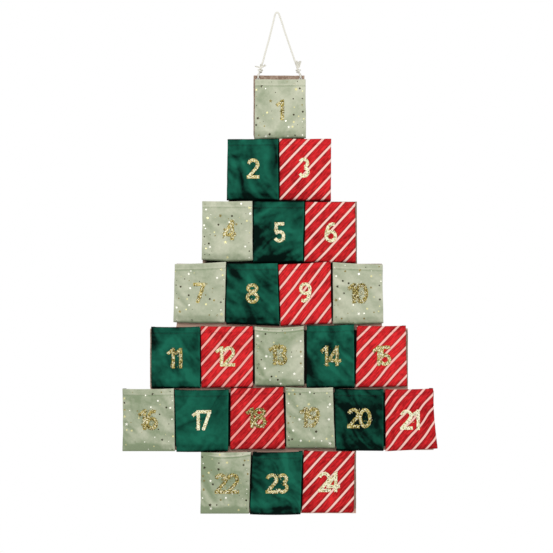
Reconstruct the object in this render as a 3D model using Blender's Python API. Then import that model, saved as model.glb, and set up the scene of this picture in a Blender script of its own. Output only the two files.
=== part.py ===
"""Felt advent calendar: a stepped felt tree with 24 numbered cloth pockets, hung by a knotted cotton cord.

The origin is the point where a nail bears on the underside of the cord's bend. +Z is up and the pockets
face -Y. All lengths are metres.
"""

import math

import bmesh
import bpy
from mathutils import Matrix, Vector
from mathutils.geometry import delaunay_2d_cdt

MM = 0.001

# Layout of the tree
ROW_COUNTS = (1, 2, 3, 4, 5, 6, 3)
CELL_WIDTH = 100 * MM
ROW_HEIGHT = 120.9 * MM
MIDDLE_X = 4.3 * MM
FELT_DROP = 120.5 * MM
SEAT_GAP = 0.3 * MM

# Felt sheet
FELT_THICKNESS = 3 * MM
HOLE_INSET = 9 * MM
HOLE_CLEARANCE = 1 * MM
HOLE_DROP = 6.5 * MM
HOLE_SIDES = 20

# Pockets
TOP_COLUMN_GAP = 4 * MM
FOOT_COLUMN_GAP = 1.6 * MM
POCKET_WALL = 1.5 * MM
ROW_GAP = 1.5 * MM
STRIP_CLEARANCE = 0.6 * MM
BODY_DEPTH = 11.5 * MM
FOOT_DEPTH = 7.5 * MM
FOOT_RISE = 15 * MM
CROWN = 4 * MM
MOUTH_SAG = 1.6 * MM
HEM_WIDTH = 11 * MM
HEM_STEP = 0.6 * MM
STITCH_GROOVE = 1.2 * MM
GROOVE_WIDTH = 2.4 * MM
SEAM_ALLOWANCE = 6 * MM
FLAT_SHARE = 0.55
SHOULDER_SHARE = 0.82
MIDDLE_SHARE = 0.28
PANEL_SHARES = (0, 0.14, 0.28, 0.72, 1)

# How single pockets hang differently: the foot's left and right corners splay, or the foot is hitched up
FOOT_SPLAY = {
    4: (3 * MM, 0 * MM),
    10: (0 * MM, 2.4 * MM),
    16: (2 * MM, 0 * MM),
    21: (0 * MM, 6.5 * MM),
}
FOOT_HITCH = {
    4: 2 * MM,
    7: 4 * MM,
}

# Main folds of each cloth below its numeral: how many across, how far they lean, and their depth
CLOTH_FOLDS = (
    (1.5, 0.5, 1.0 * MM),
    (2.0, 1.4, 1.5 * MM),
    (1.0, 0.8, 0.7 * MM),
)
FOLD_PHASE_SHARE = 0.382

# Numerals
NUMERAL_HEIGHT = 38.4 * MM
NUMERAL_STROKE = 5.9 * MM
NUMERAL_THICKNESS = 0.9 * MM
NUMERAL_LIFT = 1.6 * MM
DIGIT_OVERLAP = 1 * MM
ARC_STEP_DEGREES = 22.5
KERNING_STEPS = 48
MITRE_LEAST_SHARE = 0.5
CLOSE = 0.01 * MM

# How far numerals are ironed on to the right of and above the middle of their cells
NUMERAL_SHIFTS = {
    1: (1 * MM, -9 * MM),
    2: (-0.5 * MM, -1 * MM),
    3: (-2.5 * MM, 0.5 * MM),
    4: (4 * MM, 1.5 * MM),
    5: (0.5 * MM, -3 * MM),
    6: (-1 * MM, -3 * MM),
    7: (-4 * MM, 1.5 * MM),
    8: (-2 * MM, 0 * MM),
    9: (0 * MM, 2 * MM),
    10: (1 * MM, 0.5 * MM),
    11: (-2 * MM, -3.5 * MM),
    12: (-4.5 * MM, 0 * MM),
    13: (-3 * MM, 2.5 * MM),
    14: (-1.5 * MM, 1 * MM),
    15: (-3 * MM, 1 * MM),
    16: (-3 * MM, -1 * MM),
    17: (0 * MM, -2 * MM),
    18: (5 * MM, 2.5 * MM),
    19: (8 * MM, 3.5 * MM),
    20: (4 * MM, 2 * MM),
    21: (1.5 * MM, -1 * MM),
    22: (-1 * MM, -3 * MM),
    23: (-4.5 * MM, -3 * MM),
    24: (-4.5 * MM, 0 * MM),
}

# Cord
CORD_RADIUS = 1.5 * MM
CORD_STEP = 7 * MM

# The cord's route over the nail, from above the left knot to above the right one
CORD_ROUTE = (
    (-0.0274, 0, -0.0935),
    (-0.0223, 0, -0.0745),
    (-0.0171, 0, -0.0560),
    (-0.0123, 0, -0.0375),
    (-0.0079, 0, -0.0190),
    (-0.0048, 0, -0.0060),
    (-0.0035, 0, -0.0018),
    (-0.0020, 0, 0.0007),
    (0, 0, 0.0015),
    (0.0020, 0, 0.0007),
    (0.0036, 0, -0.0018),
    (0.0052, 0, -0.0060),
    (0.0096, 0, -0.0190),
    (0.0154, 0, -0.0375),
    (0.0218, 0, -0.0560),
    (0.0281, 0, -0.0745),
    (0.0347, 0, -0.0935),
)

# Knots, each one tube: the strand, the eye through the felt, the turns round the strand and the tail
EYE_SLACK = 1.5 * MM
EYE_CLOSE_LIFT = 8 * MM
EYE_LIFT_SHARES = (1, 0.65, 0.3)
KNOT_GAP = 0.5 * MM
TURN_CLEARANCE = 0.6 * MM
KNOT_FOOT_LIFT = 9.5 * MM
STRAND_ABOVE_KNOT = 7.1 * MM
KNOT_START_DEGREES = 30
KNOT_END_DEGREES = 540
EYE_STEP_DEGREES = 24
TURN_STEP_DEGREES = 22
TAIL_RISE = 2.2 * MM
KNOT_STEP = 1.5 * MM
GAP_SAMPLE = 0.5 * MM

# Frayed ends, as (sideways, upward, half spread) from the end of each knot's last turn
TUFT_ROOT_SHARE = 0.9
TUFT_HALF_THICKNESS = 1.5 * MM
TUFT_SIDES = 12
TUFT_FRAY_SHARE = 0.22
LEFT_TUFTS = (
    (-8 * MM, 4.5 * MM, 2.4 * MM),
    (11.5 * MM, 6 * MM, 2.6 * MM),
)
RIGHT_TUFTS = ((3 * MM, 14 * MM, 4.8 * MM),)

# Worked out from the sizes above
FELT_TOP = -FELT_DROP
FELT_FRONT = -FELT_THICKNESS / 2
HOLE_SPACING = CELL_WIDTH - 2 * HOLE_INSET
HOLE_RADIUS = CORD_RADIUS + HOLE_CLEARANCE
EYE_RADIUS = FELT_THICKNESS / 2 + CORD_RADIUS + EYE_SLACK
AXIS_Z = FELT_TOP - HOLE_DROP + EYE_RADIUS
TOP_STRIP = HOLE_DROP + CORD_RADIUS + STRIP_CLEARANCE
POCKET_TOP_WIDTH = CELL_WIDTH - TOP_COLUMN_GAP
POCKET_FOOT_WIDTH = CELL_WIDTH - FOOT_COLUMN_GAP
SIDE_SHARES = (MIDDLE_SHARE, FLAT_SHARE, SHOULDER_SHARE, 1)
ACROSS_SHARES = (*(-share for share in reversed(SIDE_SHARES)), 0, *SIDE_SHARES)
KNOT_TURN_RADIUS = 2 * CORD_RADIUS + KNOT_GAP
KNOT_PITCH = 2 * CORD_RADIUS + TURN_CLEARANCE
KNOT_TOP_LIFT = KNOT_FOOT_LIFT + KNOT_PITCH * KNOT_END_DEGREES / 360 + STRAND_ABOVE_KNOT
TUFT_ROOT_RADIUS = TUFT_ROOT_SHARE * CORD_RADIUS

# Widths of the digits and places inside them, as shares of the numeral's height
GLYPH_WIDTH_SHARES = {
    "0": 0.64,
    "1": 0.41,
    "2": 0.62,
    "3": 0.58,
    "4": 0.66,
    "5": 0.61,
    "6": 0.62,
    "7": 0.60,
    "8": 0.66,
    "9": 0.62,
}
ONE_FLAG_SHARES = (0.05, 0.72)
THREE_HIGH_BOWL_SHARE = 0.92
FOUR_STEM_SHARE = 0.2
FOUR_BAR_SHARE = 0.27
FOUR_CORNER_SHARE = 0.06
FIVE_STEM_SHARE = 0.136
FIVE_STEM_FOOT_SHARE = 0.48
FIVE_BOWL_BACK_SHARE = 0.02
SIX_SWEEP_SHARE = 0.09
SEVEN_FOOT_SHARE = 0.2
EIGHT_HIGH_BOWL_SHARE = 0.235
EIGHT_LOW_BOWL_SHARE = 0.30
EIGHT_TAPER_SHARE = 0.03


def clear_scene():
    """Start from an empty scene."""
    for found in list(bpy.data.objects):
        bpy.data.objects.remove(found, do_unlink=True)


def make_material(name, colour, roughness, metallic=0.0, sheen=0.0):
    """A Principled material with the cloth's or film's colour."""
    material = bpy.data.materials.new(name)
    material.use_nodes = True
    shader = material.node_tree.nodes["Principled BSDF"]
    shader.inputs["Base Color"].default_value = (*colour, 1)
    shader.inputs["Roughness"].default_value = roughness
    shader.inputs["Metallic"].default_value = metallic
    shader.inputs["Sheen Weight"].default_value = sheen
    material.diffuse_color = (*colour, 1)
    return material


def add_object(name, mesh, material, parent):
    """Link a mesh as a named node under its body's empty, with its own material slot."""
    made = bpy.data.objects.new(name, mesh)
    made.data.materials.clear()
    made.data.materials.append(material)
    bpy.context.scene.collection.objects.link(made)
    made.parent = parent
    made.matrix_parent_inverse = parent.matrix_world.inverted()
    return made


def mesh_from(bm, name):
    """Turn a bmesh into a mesh whose faces point out."""
    bmesh.ops.recalc_face_normals(bm, faces=bm.faces)
    mesh = bpy.data.meshes.new(name)
    bm.to_mesh(mesh)
    bm.free()
    return mesh


def counter_clockwise(polygon):
    """The same flat polygon, listed counter-clockwise."""
    area = sum(a[0] * b[1] - b[0] * a[1] for a, b in zip(polygon, polygon[1:] + polygon[:1]))
    return polygon if area > 0 else polygon[::-1]


def flat_union(polygons, y):
    """One sheet of faces at y over the union of flat (x, z) polygons."""
    points = []
    faces = []
    for polygon in polygons:
        faces.append(list(range(len(points), len(points) + len(polygon))))
        points += [Vector(point) for point in counter_clockwise(polygon)]
    flat, _, triangles, _, _, sources = delaunay_2d_cdt(points, [], faces, 0, CLOSE)
    bm = bmesh.new()
    corners = [bm.verts.new((point.x, y, point.y)) for point in flat]
    for triangle, source in zip(triangles, sources):
        if source:
            bm.faces.new([corners[index] for index in triangle])
    bmesh.ops.delete(bm, geom=[vert for vert in bm.verts if not vert.link_faces], context="VERTS")
    return bm


def extrude_plate(bm, thickness, name):
    """Give a flat sheet of faces its thickness, towards the front."""
    grown = bmesh.ops.extrude_face_region(bm, geom=bm.faces[:])
    moved = [item for item in grown["geom"] if isinstance(item, bmesh.types.BMVert)]
    bmesh.ops.translate(bm, vec=(0, -thickness, 0), verts=moved)
    return mesh_from(bm, name)


def row_top(row):
    """Height of a row's upper boundary."""
    return FELT_TOP - row * ROW_HEIGHT


def build_felt(material, parent):
    """One sheet cut to the stepped outline, with the cord's two holes."""
    rows = []
    for row, count in enumerate(ROW_COUNTS):
        half = count * CELL_WIDTH / 2
        low = row_top(row + 1)
        high = row_top(row)
        rows.append([
            (MIDDLE_X - half, low),
            (MIDDLE_X + half, low),
            (MIDDLE_X + half, high),
            (MIDDLE_X - half, high),
        ])
    mesh = extrude_plate(flat_union(rows, FELT_THICKNESS / 2), FELT_THICKNESS, "felt_backing")
    felt = add_object("felt_backing", mesh, material, parent)
    for side in (-1, 1):
        bpy.ops.mesh.primitive_cylinder_add(
            vertices=HOLE_SIDES,
            radius=HOLE_RADIUS,
            depth=3 * FELT_THICKNESS,
            location=(MIDDLE_X + side * HOLE_SPACING / 2, 0, FELT_TOP - HOLE_DROP),
            rotation=(math.pi / 2, 0, 0),
        )
        punch = bpy.context.object
        punch.name = f"hole_punch_{'left' if side < 0 else 'right'}"
        punch.hide_render = True
        punch.display_type = "WIRE"
        cut = felt.modifiers.new(f"punch {side}", "BOOLEAN")
        cut.operation = "DIFFERENCE"
        cut.object = punch
    return felt


def pocket_levels(height):
    """Heights of the front panel's rows above its foot: rolled foot, flat panel, groove and hem."""
    stitch = height - HEM_WIDTH
    panel = stitch - GROOVE_WIDTH / 2 - FOOT_RISE
    levels = [0, FOOT_RISE / 2]
    levels += [FOOT_RISE + share * panel for share in PANEL_SHARES]
    return levels + [stitch, stitch + GROOVE_WIDTH / 2, height]


def fold_depth(number, across, level, height):
    """How far the cloth's leaning folds fall back, deepest at the foot and none beside the numeral."""
    count, lean, depth = CLOTH_FOLDS[(number - 1) % len(CLOTH_FOLDS)]
    fold_top = (height - NUMERAL_HEIGHT) / 2
    fade = max(1 - level / fold_top, 0) * (1 - across ** 2)
    turns = count * across / 2 + lean * level / fold_top + number * FOLD_PHASE_SHARE
    return depth * fade * (1 - math.cos(2 * math.pi * turns)) / 2


def front_depth(across, level, height):
    """How far the front panel stands off the felt before its folds.

    It rolls back at the foot, is drawn in at the hem's stitching and is fullest and flat in the middle.
    """
    beyond = max(abs(across) - FLAT_SHARE, 0) / (1 - FLAT_SHARE)
    crown = CROWN * (1 - beyond ** 2)
    stitch = height - HEM_WIDTH
    if level < FOOT_RISE:
        rise = math.sqrt(level / FOOT_RISE)
        return FOOT_DEPTH + (BODY_DEPTH - FOOT_DEPTH + crown) * rise
    if abs(level - stitch) < GROOVE_WIDTH / 4:
        return BODY_DEPTH + crown - STITCH_GROOVE
    if level > stitch:
        return BODY_DEPTH + crown + HEM_STEP
    return BODY_DEPTH + crown


def build_pocket(number, row, column, material, parent):
    """An open-topped pocket: front panel, gussets at sides and foot, and a seam allowance on the felt."""
    splay = FOOT_SPLAY.get(number, (0, 0))
    top = row_top(row) - (TOP_STRIP if row == 0 else ROW_GAP / 2)
    foot = row_top(row + 1) + ROW_GAP / 2 + FOOT_HITCH.get(number, 0)
    height = top - foot
    middle = MIDDLE_X + (column - (ROW_COUNTS[row] - 1) / 2) * CELL_WIDTH
    seat = FELT_FRONT - SEAT_GAP

    def half_width(level, side):
        grown = POCKET_TOP_WIDTH + (POCKET_FOOT_WIDTH - POCKET_TOP_WIDTH) * (1 - level / height)
        return grown / 2 + splay[0 if side < 0 else 1] * (1 - level / height) ** 2

    bm = bmesh.new()
    grid = []
    for level in pocket_levels(height):
        line = []
        for across in ACROSS_SHARES:
            x = middle + across * half_width(level, across)
            sag = MOUTH_SAG * (1 - across ** 2) if level == height else 0
            y = seat - front_depth(across, level, height) + fold_depth(number, across, level, height)
            line.append(bm.verts.new((x, y, foot + level - sag)))
        grid.append(line)
    for lower, upper in zip(grid, grid[1:]):
        for corners in zip(lower, lower[1:], upper[1:], upper):
            bm.faces.new(corners)

    mouth = set(grid[-1])
    sides = [edge for edge in bm.edges if edge.is_boundary and not set(edge.verts) <= mouth]
    gusset = bmesh.ops.extrude_edge_only(bm, edges=sides)["geom"]
    for vert in [item for item in gusset if isinstance(item, bmesh.types.BMVert)]:
        vert.co.y = seat
    rim = [item for item in gusset if isinstance(item, bmesh.types.BMEdge)]
    rim = [edge for edge in rim if all(vert.co.y == seat for vert in edge.verts)]
    allowance = bmesh.ops.extrude_edge_only(bm, edges=rim)["geom"]
    for vert in [item for item in allowance if isinstance(item, bmesh.types.BMVert)]:
        if abs(vert.co.x - middle) > POCKET_TOP_WIDTH / 2 - CLOSE:
            vert.co.x -= math.copysign(SEAM_ALLOWANCE, vert.co.x - middle)
        if vert.co.z < foot + CLOSE:
            vert.co.z += SEAM_ALLOWANCE

    mesh = mesh_from(bm, f"pocket_{number:02d}")
    mesh.polygons.foreach_set("use_smooth", [True] * len(mesh.polygons))
    made = add_object(f"pocket_{number:02d}", mesh, material, parent)
    wall = made.modifiers.new("cloth wall", "SOLIDIFY")
    wall.thickness = POCKET_WALL
    wall.offset = -1
    wall.use_even_offset = True
    return made


def arc(centre_x, centre_y, radius_x, radius_y, start, end):
    """Points of an elliptical arc, in degrees, as shares of the numeral's height."""
    steps = max(2, round(abs(end - start) / ARC_STEP_DEGREES))
    angles = [math.radians(start + (end - start) * step / steps) for step in range(steps + 1)]
    return [(centre_x + radius_x * math.cos(a), centre_y + radius_y * math.sin(a)) for a in angles]


def glyph_strokes(digit):
    """Centre lines of a digit's strokes, as shares of the numeral's height."""
    s = NUMERAL_STROKE / NUMERAL_HEIGHT / 2
    w = GLYPH_WIDTH_SHARES[digit]
    if digit == "0":
        return [arc(w / 2, 0.5, w / 2 - s, 0.5 - s, 0, 360)]
    if digit == "1":
        stem = w - s
        return [[(stem, 0), (stem, 1)], [(stem, 1 - s), ONE_FLAG_SHARES]]
    if digit == "2":
        bowl = w / 2 - s
        turn = arc(w / 2, 1 - s - bowl, bowl, bowl, 168, -38)
        return [turn + [(s, s)], [(0, s), (w, s)]]
    if digit == "3":
        low = w / 2 - s
        high = THREE_HIGH_BOWL_SHARE * w / 2 - s
        middle = w / 2
        return [
            arc(middle, 1 - s - high, high, high, 158, -78),
            arc(middle, s + low, low, low, 82, -158),
        ]
    if digit == "4":
        stem = w - FOUR_STEM_SHARE
        bar = FOUR_BAR_SHARE
        return [[(stem, 0), (stem, 1)], [(0, bar), (w, bar)], [(stem, 1 - s), (FOUR_CORNER_SHARE, bar)]]
    if digit == "5":
        bowl = w / 2 - s
        left = FIVE_STEM_SHARE
        return [
            [(left - s, 1 - s), (w - s, 1 - s)],
            [(left, 1), (left, FIVE_STEM_FOOT_SHARE)],
            arc(w / 2 - FIVE_BOWL_BACK_SHARE, s + bowl, bowl, bowl, 142, -152),
        ]
    if digit == "6":
        bowl = w / 2 - s
        reach = bowl + SIX_SWEEP_SHARE
        sweep = arc(w / 2 + SIX_SWEEP_SHARE, s + bowl, reach, 1 - 2 * s - bowl, 180, 72)
        return [arc(w / 2, s + bowl, bowl, bowl, 0, 360), sweep]
    if digit == "7":
        return [[(0, 1 - s), (w, 1 - s)], [(w - s, 1 - s), (SEVEN_FOOT_SHARE, 0)]]
    if digit == "8":
        high = EIGHT_HIGH_BOWL_SHARE - s
        low = EIGHT_LOW_BOWL_SHARE - s
        return [
            arc(w / 2, 1 - s - high, w / 2 - EIGHT_TAPER_SHARE - s, high, 0, 360),
            arc(w / 2, s + low, w / 2 - s, low, 0, 360),
        ]
    return [[(w - x, 1 - y) for x, y in stroke] for stroke in glyph_strokes("6")]


def stroke_polygons(points, half):
    """Quads along a centre line with mitred joints."""
    closed = math.dist(points[0], points[-1]) < CLOSE
    sides = []
    for index, point in enumerate(points):
        before = points[index - 1] if index or not closed else points[-2]
        after = points[(index + 1) % len(points)] if index < len(points) - 1 or not closed else points[1]
        into = (Vector(point) - Vector(before)).normalized() if index or closed else None
        out = (Vector(after) - Vector(point)).normalized() if index < len(points) - 1 or closed else None
        into = into or out
        out = out or into
        normal = Vector((-(into.y + out.y), into.x + out.x)).normalized()
        reach = half / max(normal.dot(Vector((-into.y, into.x))), MITRE_LEAST_SHARE)
        sides.append((Vector(point) + reach * normal, Vector(point) - reach * normal))
    return [
        [tuple(a[0]), tuple(a[1]), tuple(b[1]), tuple(b[0])]
        for a, b in zip(sides, sides[1:])
    ]


def profile(polygons, height, side):
    """The furthest reach of polygons to one side at a height, or None where they have nothing."""
    reach = []
    for polygon in polygons:
        for a, b in zip(polygon, polygon[1:] + polygon[:1]):
            if (a[1] - height) * (b[1] - height) < 0:
                reach.append(a[0] + (b[0] - a[0]) * (height - a[1]) / (b[1] - a[1]))
    return (max(reach) if side > 0 else min(reach)) if reach else None


def number_polygons(number):
    """All stroke quads of a number in metres, its digits moved together until they overlap a little."""
    half = NUMERAL_STROKE / 2
    placed = []
    for digit in str(number):
        quads = []
        for stroke in glyph_strokes(digit):
            line = [(x * NUMERAL_HEIGHT, y * NUMERAL_HEIGHT) for x, y in stroke]
            quads += stroke_polygons(line, half)
        shift = 0
        if placed:
            gaps = []
            for step in range(1, KERNING_STEPS):
                height = NUMERAL_HEIGHT * step / KERNING_STEPS
                right = profile(placed, height, 1)
                left = profile(quads, height, -1)
                if right is not None and left is not None:
                    gaps.append(right - left)
            shift = max(gaps) - DIGIT_OVERLAP
        placed += [[(x + shift, y) for x, y in quad] for quad in quads]
    return placed


def build_number(number, row, column, material, parent):
    """A cut-out numeral of glitter film, lying on the flat middle of its pocket."""
    quads = number_polygons(number)
    left = min(x for quad in quads for x, _ in quad)
    right = max(x for quad in quads for x, _ in quad)
    right_shift, up_shift = NUMERAL_SHIFTS[number]
    middle_x = MIDDLE_X + (column - (ROW_COUNTS[row] - 1) / 2) * CELL_WIDTH + right_shift
    middle_z = row_top(row) - ROW_HEIGHT / 2 + NUMERAL_LIFT + up_shift
    shift_x = middle_x - (left + right) / 2
    shift_z = middle_z - NUMERAL_HEIGHT / 2
    placed = [[(x + shift_x, y + shift_z) for x, y in quad] for quad in quads]
    back = FELT_FRONT - SEAT_GAP - BODY_DEPTH - CROWN - SEAT_GAP
    bm = flat_union(placed, back)
    bmesh.ops.dissolve_limit(
        bm,
        angle_limit=math.radians(1),
        verts=bm.verts,
        edges=bm.edges,
        use_dissolve_boundaries=False,
    )
    name = f"number_{number:02d}"
    return add_object(name, extrude_plate(bm, NUMERAL_THICKNESS, name), material, parent)


def smooth_line(points, step):
    """Points about one step apart along a centripetal Catmull-Rom curve through the given points."""
    points = [Vector(point) for point in points]
    ends = [2 * points[0] - points[1]] + points + [2 * points[-1] - points[-2]]
    line = []
    for a, b, c, d in zip(ends, ends[1:], ends[2:], ends[3:]):
        times = [0.0]
        for first, second in ((a, b), (b, c), (c, d)):
            times.append(times[-1] + math.sqrt((second - first).length))
        pieces = max(1, round((c - b).length / step))
        for piece in range(pieces):
            t = times[1] + (times[2] - times[1]) * piece / pieces
            ab = a.lerp(b, (t - times[0]) / (times[1] - times[0]))
            bc = b.lerp(c, (t - times[1]) / (times[2] - times[1]))
            cd = c.lerp(d, (t - times[2]) / (times[3] - times[2]))
            abc = ab.lerp(bc, (t - times[0]) / (times[2] - times[0]))
            bcd = bc.lerp(cd, (t - times[1]) / (times[3] - times[1]))
            line.append(abc.lerp(bcd, (t - times[1]) / (times[2] - times[1])))
    return line + [points[-1]]


def cord_tube(name, points):
    """A round cord along a poly line, with closed ends, as a curve."""
    curve = bpy.data.curves.new(name, "CURVE")
    curve.dimensions = "3D"
    curve.bevel_depth = CORD_RADIUS
    curve.bevel_resolution = 2
    curve.use_fill_caps = True
    spline = curve.splines.new("POLY")
    spline.points.add(len(points) - 1)
    for place, point in zip(spline.points, points):
        place.co = (*point, 1)
    return curve


def tube_mesh(name, points):
    """The same round cord as a plain mesh, which other shapes can be joined to."""
    guide = bpy.data.objects.new(f"{name}_line", cord_tube(name, points))
    mesh = bpy.data.meshes.new_from_object(guide)
    bpy.data.objects.remove(guide)
    return mesh


def knot_frame(side):
    """A knot's foot on its strand, and the directions along the strand, backwards and across."""
    hole_x = MIDDLE_X + side * HOLE_SPACING / 2
    above = Vector(CORD_ROUTE[0] if side < 0 else CORD_ROUTE[-1])
    along = (above - Vector((hole_x, 0, AXIS_Z))).normalized()
    foot = Vector((hole_x, 0, AXIS_Z)) + along * KNOT_FOOT_LIFT
    back = Vector((0, 1, 0))
    return foot, along, back, along.cross(back) * side


def knot_top(side):
    """Where the knot's strand meets the hanging cord."""
    foot, along, _, _ = knot_frame(side)
    return foot + along * (KNOT_TOP_LIFT - KNOT_FOOT_LIFT)


def eye_points(side):
    """Down the strand, out to the front of the felt, through its hole and straight up behind it."""
    foot, along, _, _ = knot_frame(side)
    hole = foot - along * KNOT_FOOT_LIFT
    points = [knot_top(side), foot + along * CORD_RADIUS]
    for share in EYE_LIFT_SHARES:
        ease = share * share * (3 - 2 * share)
        out = Vector((0, -EYE_RADIUS * (1 - ease), 0))
        points.append(hole + along * EYE_CLOSE_LIFT * share + out)
    steps = round(180 / EYE_STEP_DEGREES)
    for step in range(steps + 1):
        angle = math.pi * step / steps
        points.append(hole + Vector((0, -EYE_RADIUS * math.cos(angle), -EYE_RADIUS * math.sin(angle))))
    return points + [points[-1] + Vector((0, 0, EYE_CLOSE_LIFT / 2))]


def turn_points(side):
    """The turns round the strand, from behind it to where the tail leaves in front."""
    foot, along, back, across = knot_frame(side)
    points = []
    turn = KNOT_START_DEGREES
    while turn <= KNOT_END_DEGREES:
        angle = math.radians(turn)
        ring = back * math.cos(angle) + across * math.sin(angle)
        points.append(foot + along * KNOT_PITCH * turn / 360 + ring * KNOT_TURN_RADIUS)
        turn += TURN_STEP_DEGREES
    return points


def knot_points(side):
    """The whole knot's middle line, from its strand to the end of its tail."""
    turns = turn_points(side)
    leaving = (turns[-1] - turns[-2]).normalized()
    tail = turns[-1] + (knot_frame(side)[1] + leaving / 2) * TAIL_RISE
    return eye_points(side)[:2] + smooth_line(eye_points(side)[2:] + turns + [tail], KNOT_STEP)


def least_gap(line):
    """The least gap between two stretches of one cord, from points along its middle."""
    fine = smooth_line(line, GAP_SAMPLE)
    apart = round(5 * CORD_RADIUS / GAP_SAMPLE)
    gaps = []
    for index, point in enumerate(fine):
        gaps += [(point - other).length - 2 * CORD_RADIUS for other in fine[index + apart:]]
    return min(gaps)


def tuft_mesh(name, root, tip, spread):
    """A frayed end: a flattened cone that opens from the cord's size to the spread of its strands."""
    reach = tip - root
    bm = bmesh.new()
    bmesh.ops.create_cone(
        bm,
        cap_ends=True,
        segments=TUFT_SIDES,
        radius1=TUFT_ROOT_RADIUS,
        radius2=spread,
        depth=reach.length,
    )
    tips = [vert for vert in bm.verts if vert.co.z > 0]
    for number, vert in enumerate(tips):
        vert.co.y *= TUFT_HALF_THICKNESS / spread
        vert.co.z -= reach.length * TUFT_FRAY_SHARE * (number % 2)
    bmesh.ops.translate(bm, vec=(0, 0, reach.length / 2), verts=bm.verts)
    upward = reach.normalized()
    back = Vector((0, 1, 0))
    turn = Matrix((back.cross(upward), back, upward)).transposed()
    bmesh.ops.rotate(bm, cent=(0, 0, 0), matrix=turn, verts=bm.verts)
    bmesh.ops.translate(bm, vec=root, verts=bm.verts)
    return mesh_from(bm, name)


def build_cord(material, parent):
    """The hanging cord from knot to knot, and the two knots with their frayed ends."""
    ends = [knot_top(side) + knot_frame(side)[1] * SEAT_GAP for side in (-1, 1)]
    line = smooth_line([ends[0], *CORD_ROUTE, ends[1]], CORD_STEP)
    add_object("hanging_cord", cord_tube("hanging_cord", line), material, parent)
    length = sum((b - a).length for a, b in zip(line, line[1:]))
    for side, name, tufts in ((-1, "left_cord_knot", LEFT_TUFTS), (1, "right_cord_knot", RIGHT_TUFTS)):
        middle = knot_points(side)
        length += sum((b - a).length for a, b in zip(middle, middle[1:]))
        print(f"{name}: least gap to itself {least_gap(middle) / MM:.2f} mm")
        knot = add_object(name, tube_mesh(name, middle), material, parent)
        root = middle[-2].lerp(middle[-1], 0.5)
        for number, (sideways, upward, spread) in enumerate(tufts):
            tip = root + Vector((sideways, 0, upward))
            mesh = tuft_mesh(f"{name}_tuft_{number}", root, tip, spread)
            tuft = add_object(f"{name}_tuft_{number}", mesh, material, parent)
            tuft.hide_render = True
            tuft.display_type = "WIRE"
            join = knot.modifiers.new(f"tuft {number}", "BOOLEAN")
            join.operation = "UNION"
            join.object = tuft
    print(f"cord length with its knots {length:.3f} m")


def build():
    """The whole calendar, in its two moving bodies."""
    clear_scene()
    felt = make_material("taupe felt", (0.36, 0.25, 0.17), 0.95, sheen=0.3)
    cloths = (
        make_material("sage cloth with foil dots", (0.50, 0.54, 0.40), 0.55, sheen=0.3),
        make_material("dark green velvet", (0.006, 0.085, 0.05), 0.5, sheen=0.6),
        make_material("red striped cloth", (0.58, 0.012, 0.02), 0.5, sheen=0.3),
    )
    gold = make_material("gold glitter film", (0.75, 0.62, 0.30), 0.35, metallic=0.8)
    cotton = make_material("cream cotton cord", (0.80, 0.74, 0.62), 0.9)

    cord_body = bpy.data.objects.new("cord_body", None)
    calendar_body = bpy.data.objects.new("calendar_body", None)
    calendar_body.location = (MIDDLE_X, 0, AXIS_Z)
    for empty in (cord_body, calendar_body):
        bpy.context.scene.collection.objects.link(empty)
    bpy.context.view_layer.update()

    build_felt(felt, calendar_body)
    number = 0
    for row, count in enumerate(ROW_COUNTS):
        for column in range(count):
            number += 1
            build_pocket(number, row, column, cloths[(number - 1) % len(cloths)], calendar_body)
            build_number(number, row, column, gold, calendar_body)
    build_cord(cotton, cord_body)


build()
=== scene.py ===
"""Looks of the felt advent calendar: cloth pockets, foil print, glitter numerals, felt and twisted cord.

Every piece is in metres in the frame's axes: +Z is up, the pockets face -Y and the nail is at the origin.
"""

import math
import random

import bmesh
import bpy
import numpy as np
from bpy.props import FloatProperty, FloatVectorProperty, IntProperty, PointerProperty
from bpy.types import Operator, Panel, PropertyGroup
from mathutils import Matrix, Vector, noise
from mathutils.bvhtree import BVHTree


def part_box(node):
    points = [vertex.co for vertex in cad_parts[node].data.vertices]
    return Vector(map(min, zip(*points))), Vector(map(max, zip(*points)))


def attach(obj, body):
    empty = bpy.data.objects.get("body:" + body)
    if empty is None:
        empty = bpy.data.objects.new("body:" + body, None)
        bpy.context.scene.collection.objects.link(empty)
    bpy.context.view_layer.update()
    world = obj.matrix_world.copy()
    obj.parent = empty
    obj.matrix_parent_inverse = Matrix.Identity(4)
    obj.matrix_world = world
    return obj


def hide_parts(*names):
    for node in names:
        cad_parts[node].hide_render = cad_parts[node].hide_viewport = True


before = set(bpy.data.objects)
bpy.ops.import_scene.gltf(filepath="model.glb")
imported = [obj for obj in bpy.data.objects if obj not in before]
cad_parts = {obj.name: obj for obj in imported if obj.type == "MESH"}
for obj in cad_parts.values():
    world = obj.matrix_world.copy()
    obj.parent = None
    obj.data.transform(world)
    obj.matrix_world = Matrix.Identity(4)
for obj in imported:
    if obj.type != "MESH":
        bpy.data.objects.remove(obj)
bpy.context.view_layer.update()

bl_info = {
    "name": "Felt advent calendar",
    "version": (1, 0, 0),
    "blender": (4, 5, 0),
    "location": "View3D > Sidebar > Calendar",
    "description": "Builds the cloth, felt, cord and glitter of a hanging pocket calendar round its solids",
    "category": "Object",
}

MM = 0.001

# Fixes the noise that bends the pile's patches and frays the felt's cut edge, so that every run is the same
NOISE_SEED = 24

# The calendar's plan, as its solids have it
ROW_COUNTS = (1, 2, 3, 4, 5, 6, 3)
CLOTHS = ("sage", "green", "red")
CELL_WIDTH = 100 * MM
MIDDLE_X = 4.3 * MM
HOLE_SPACING = 82 * MM
HOLE_DROP = 6.5 * MM
HOLE_RADIUS = 2.5 * MM

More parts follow.
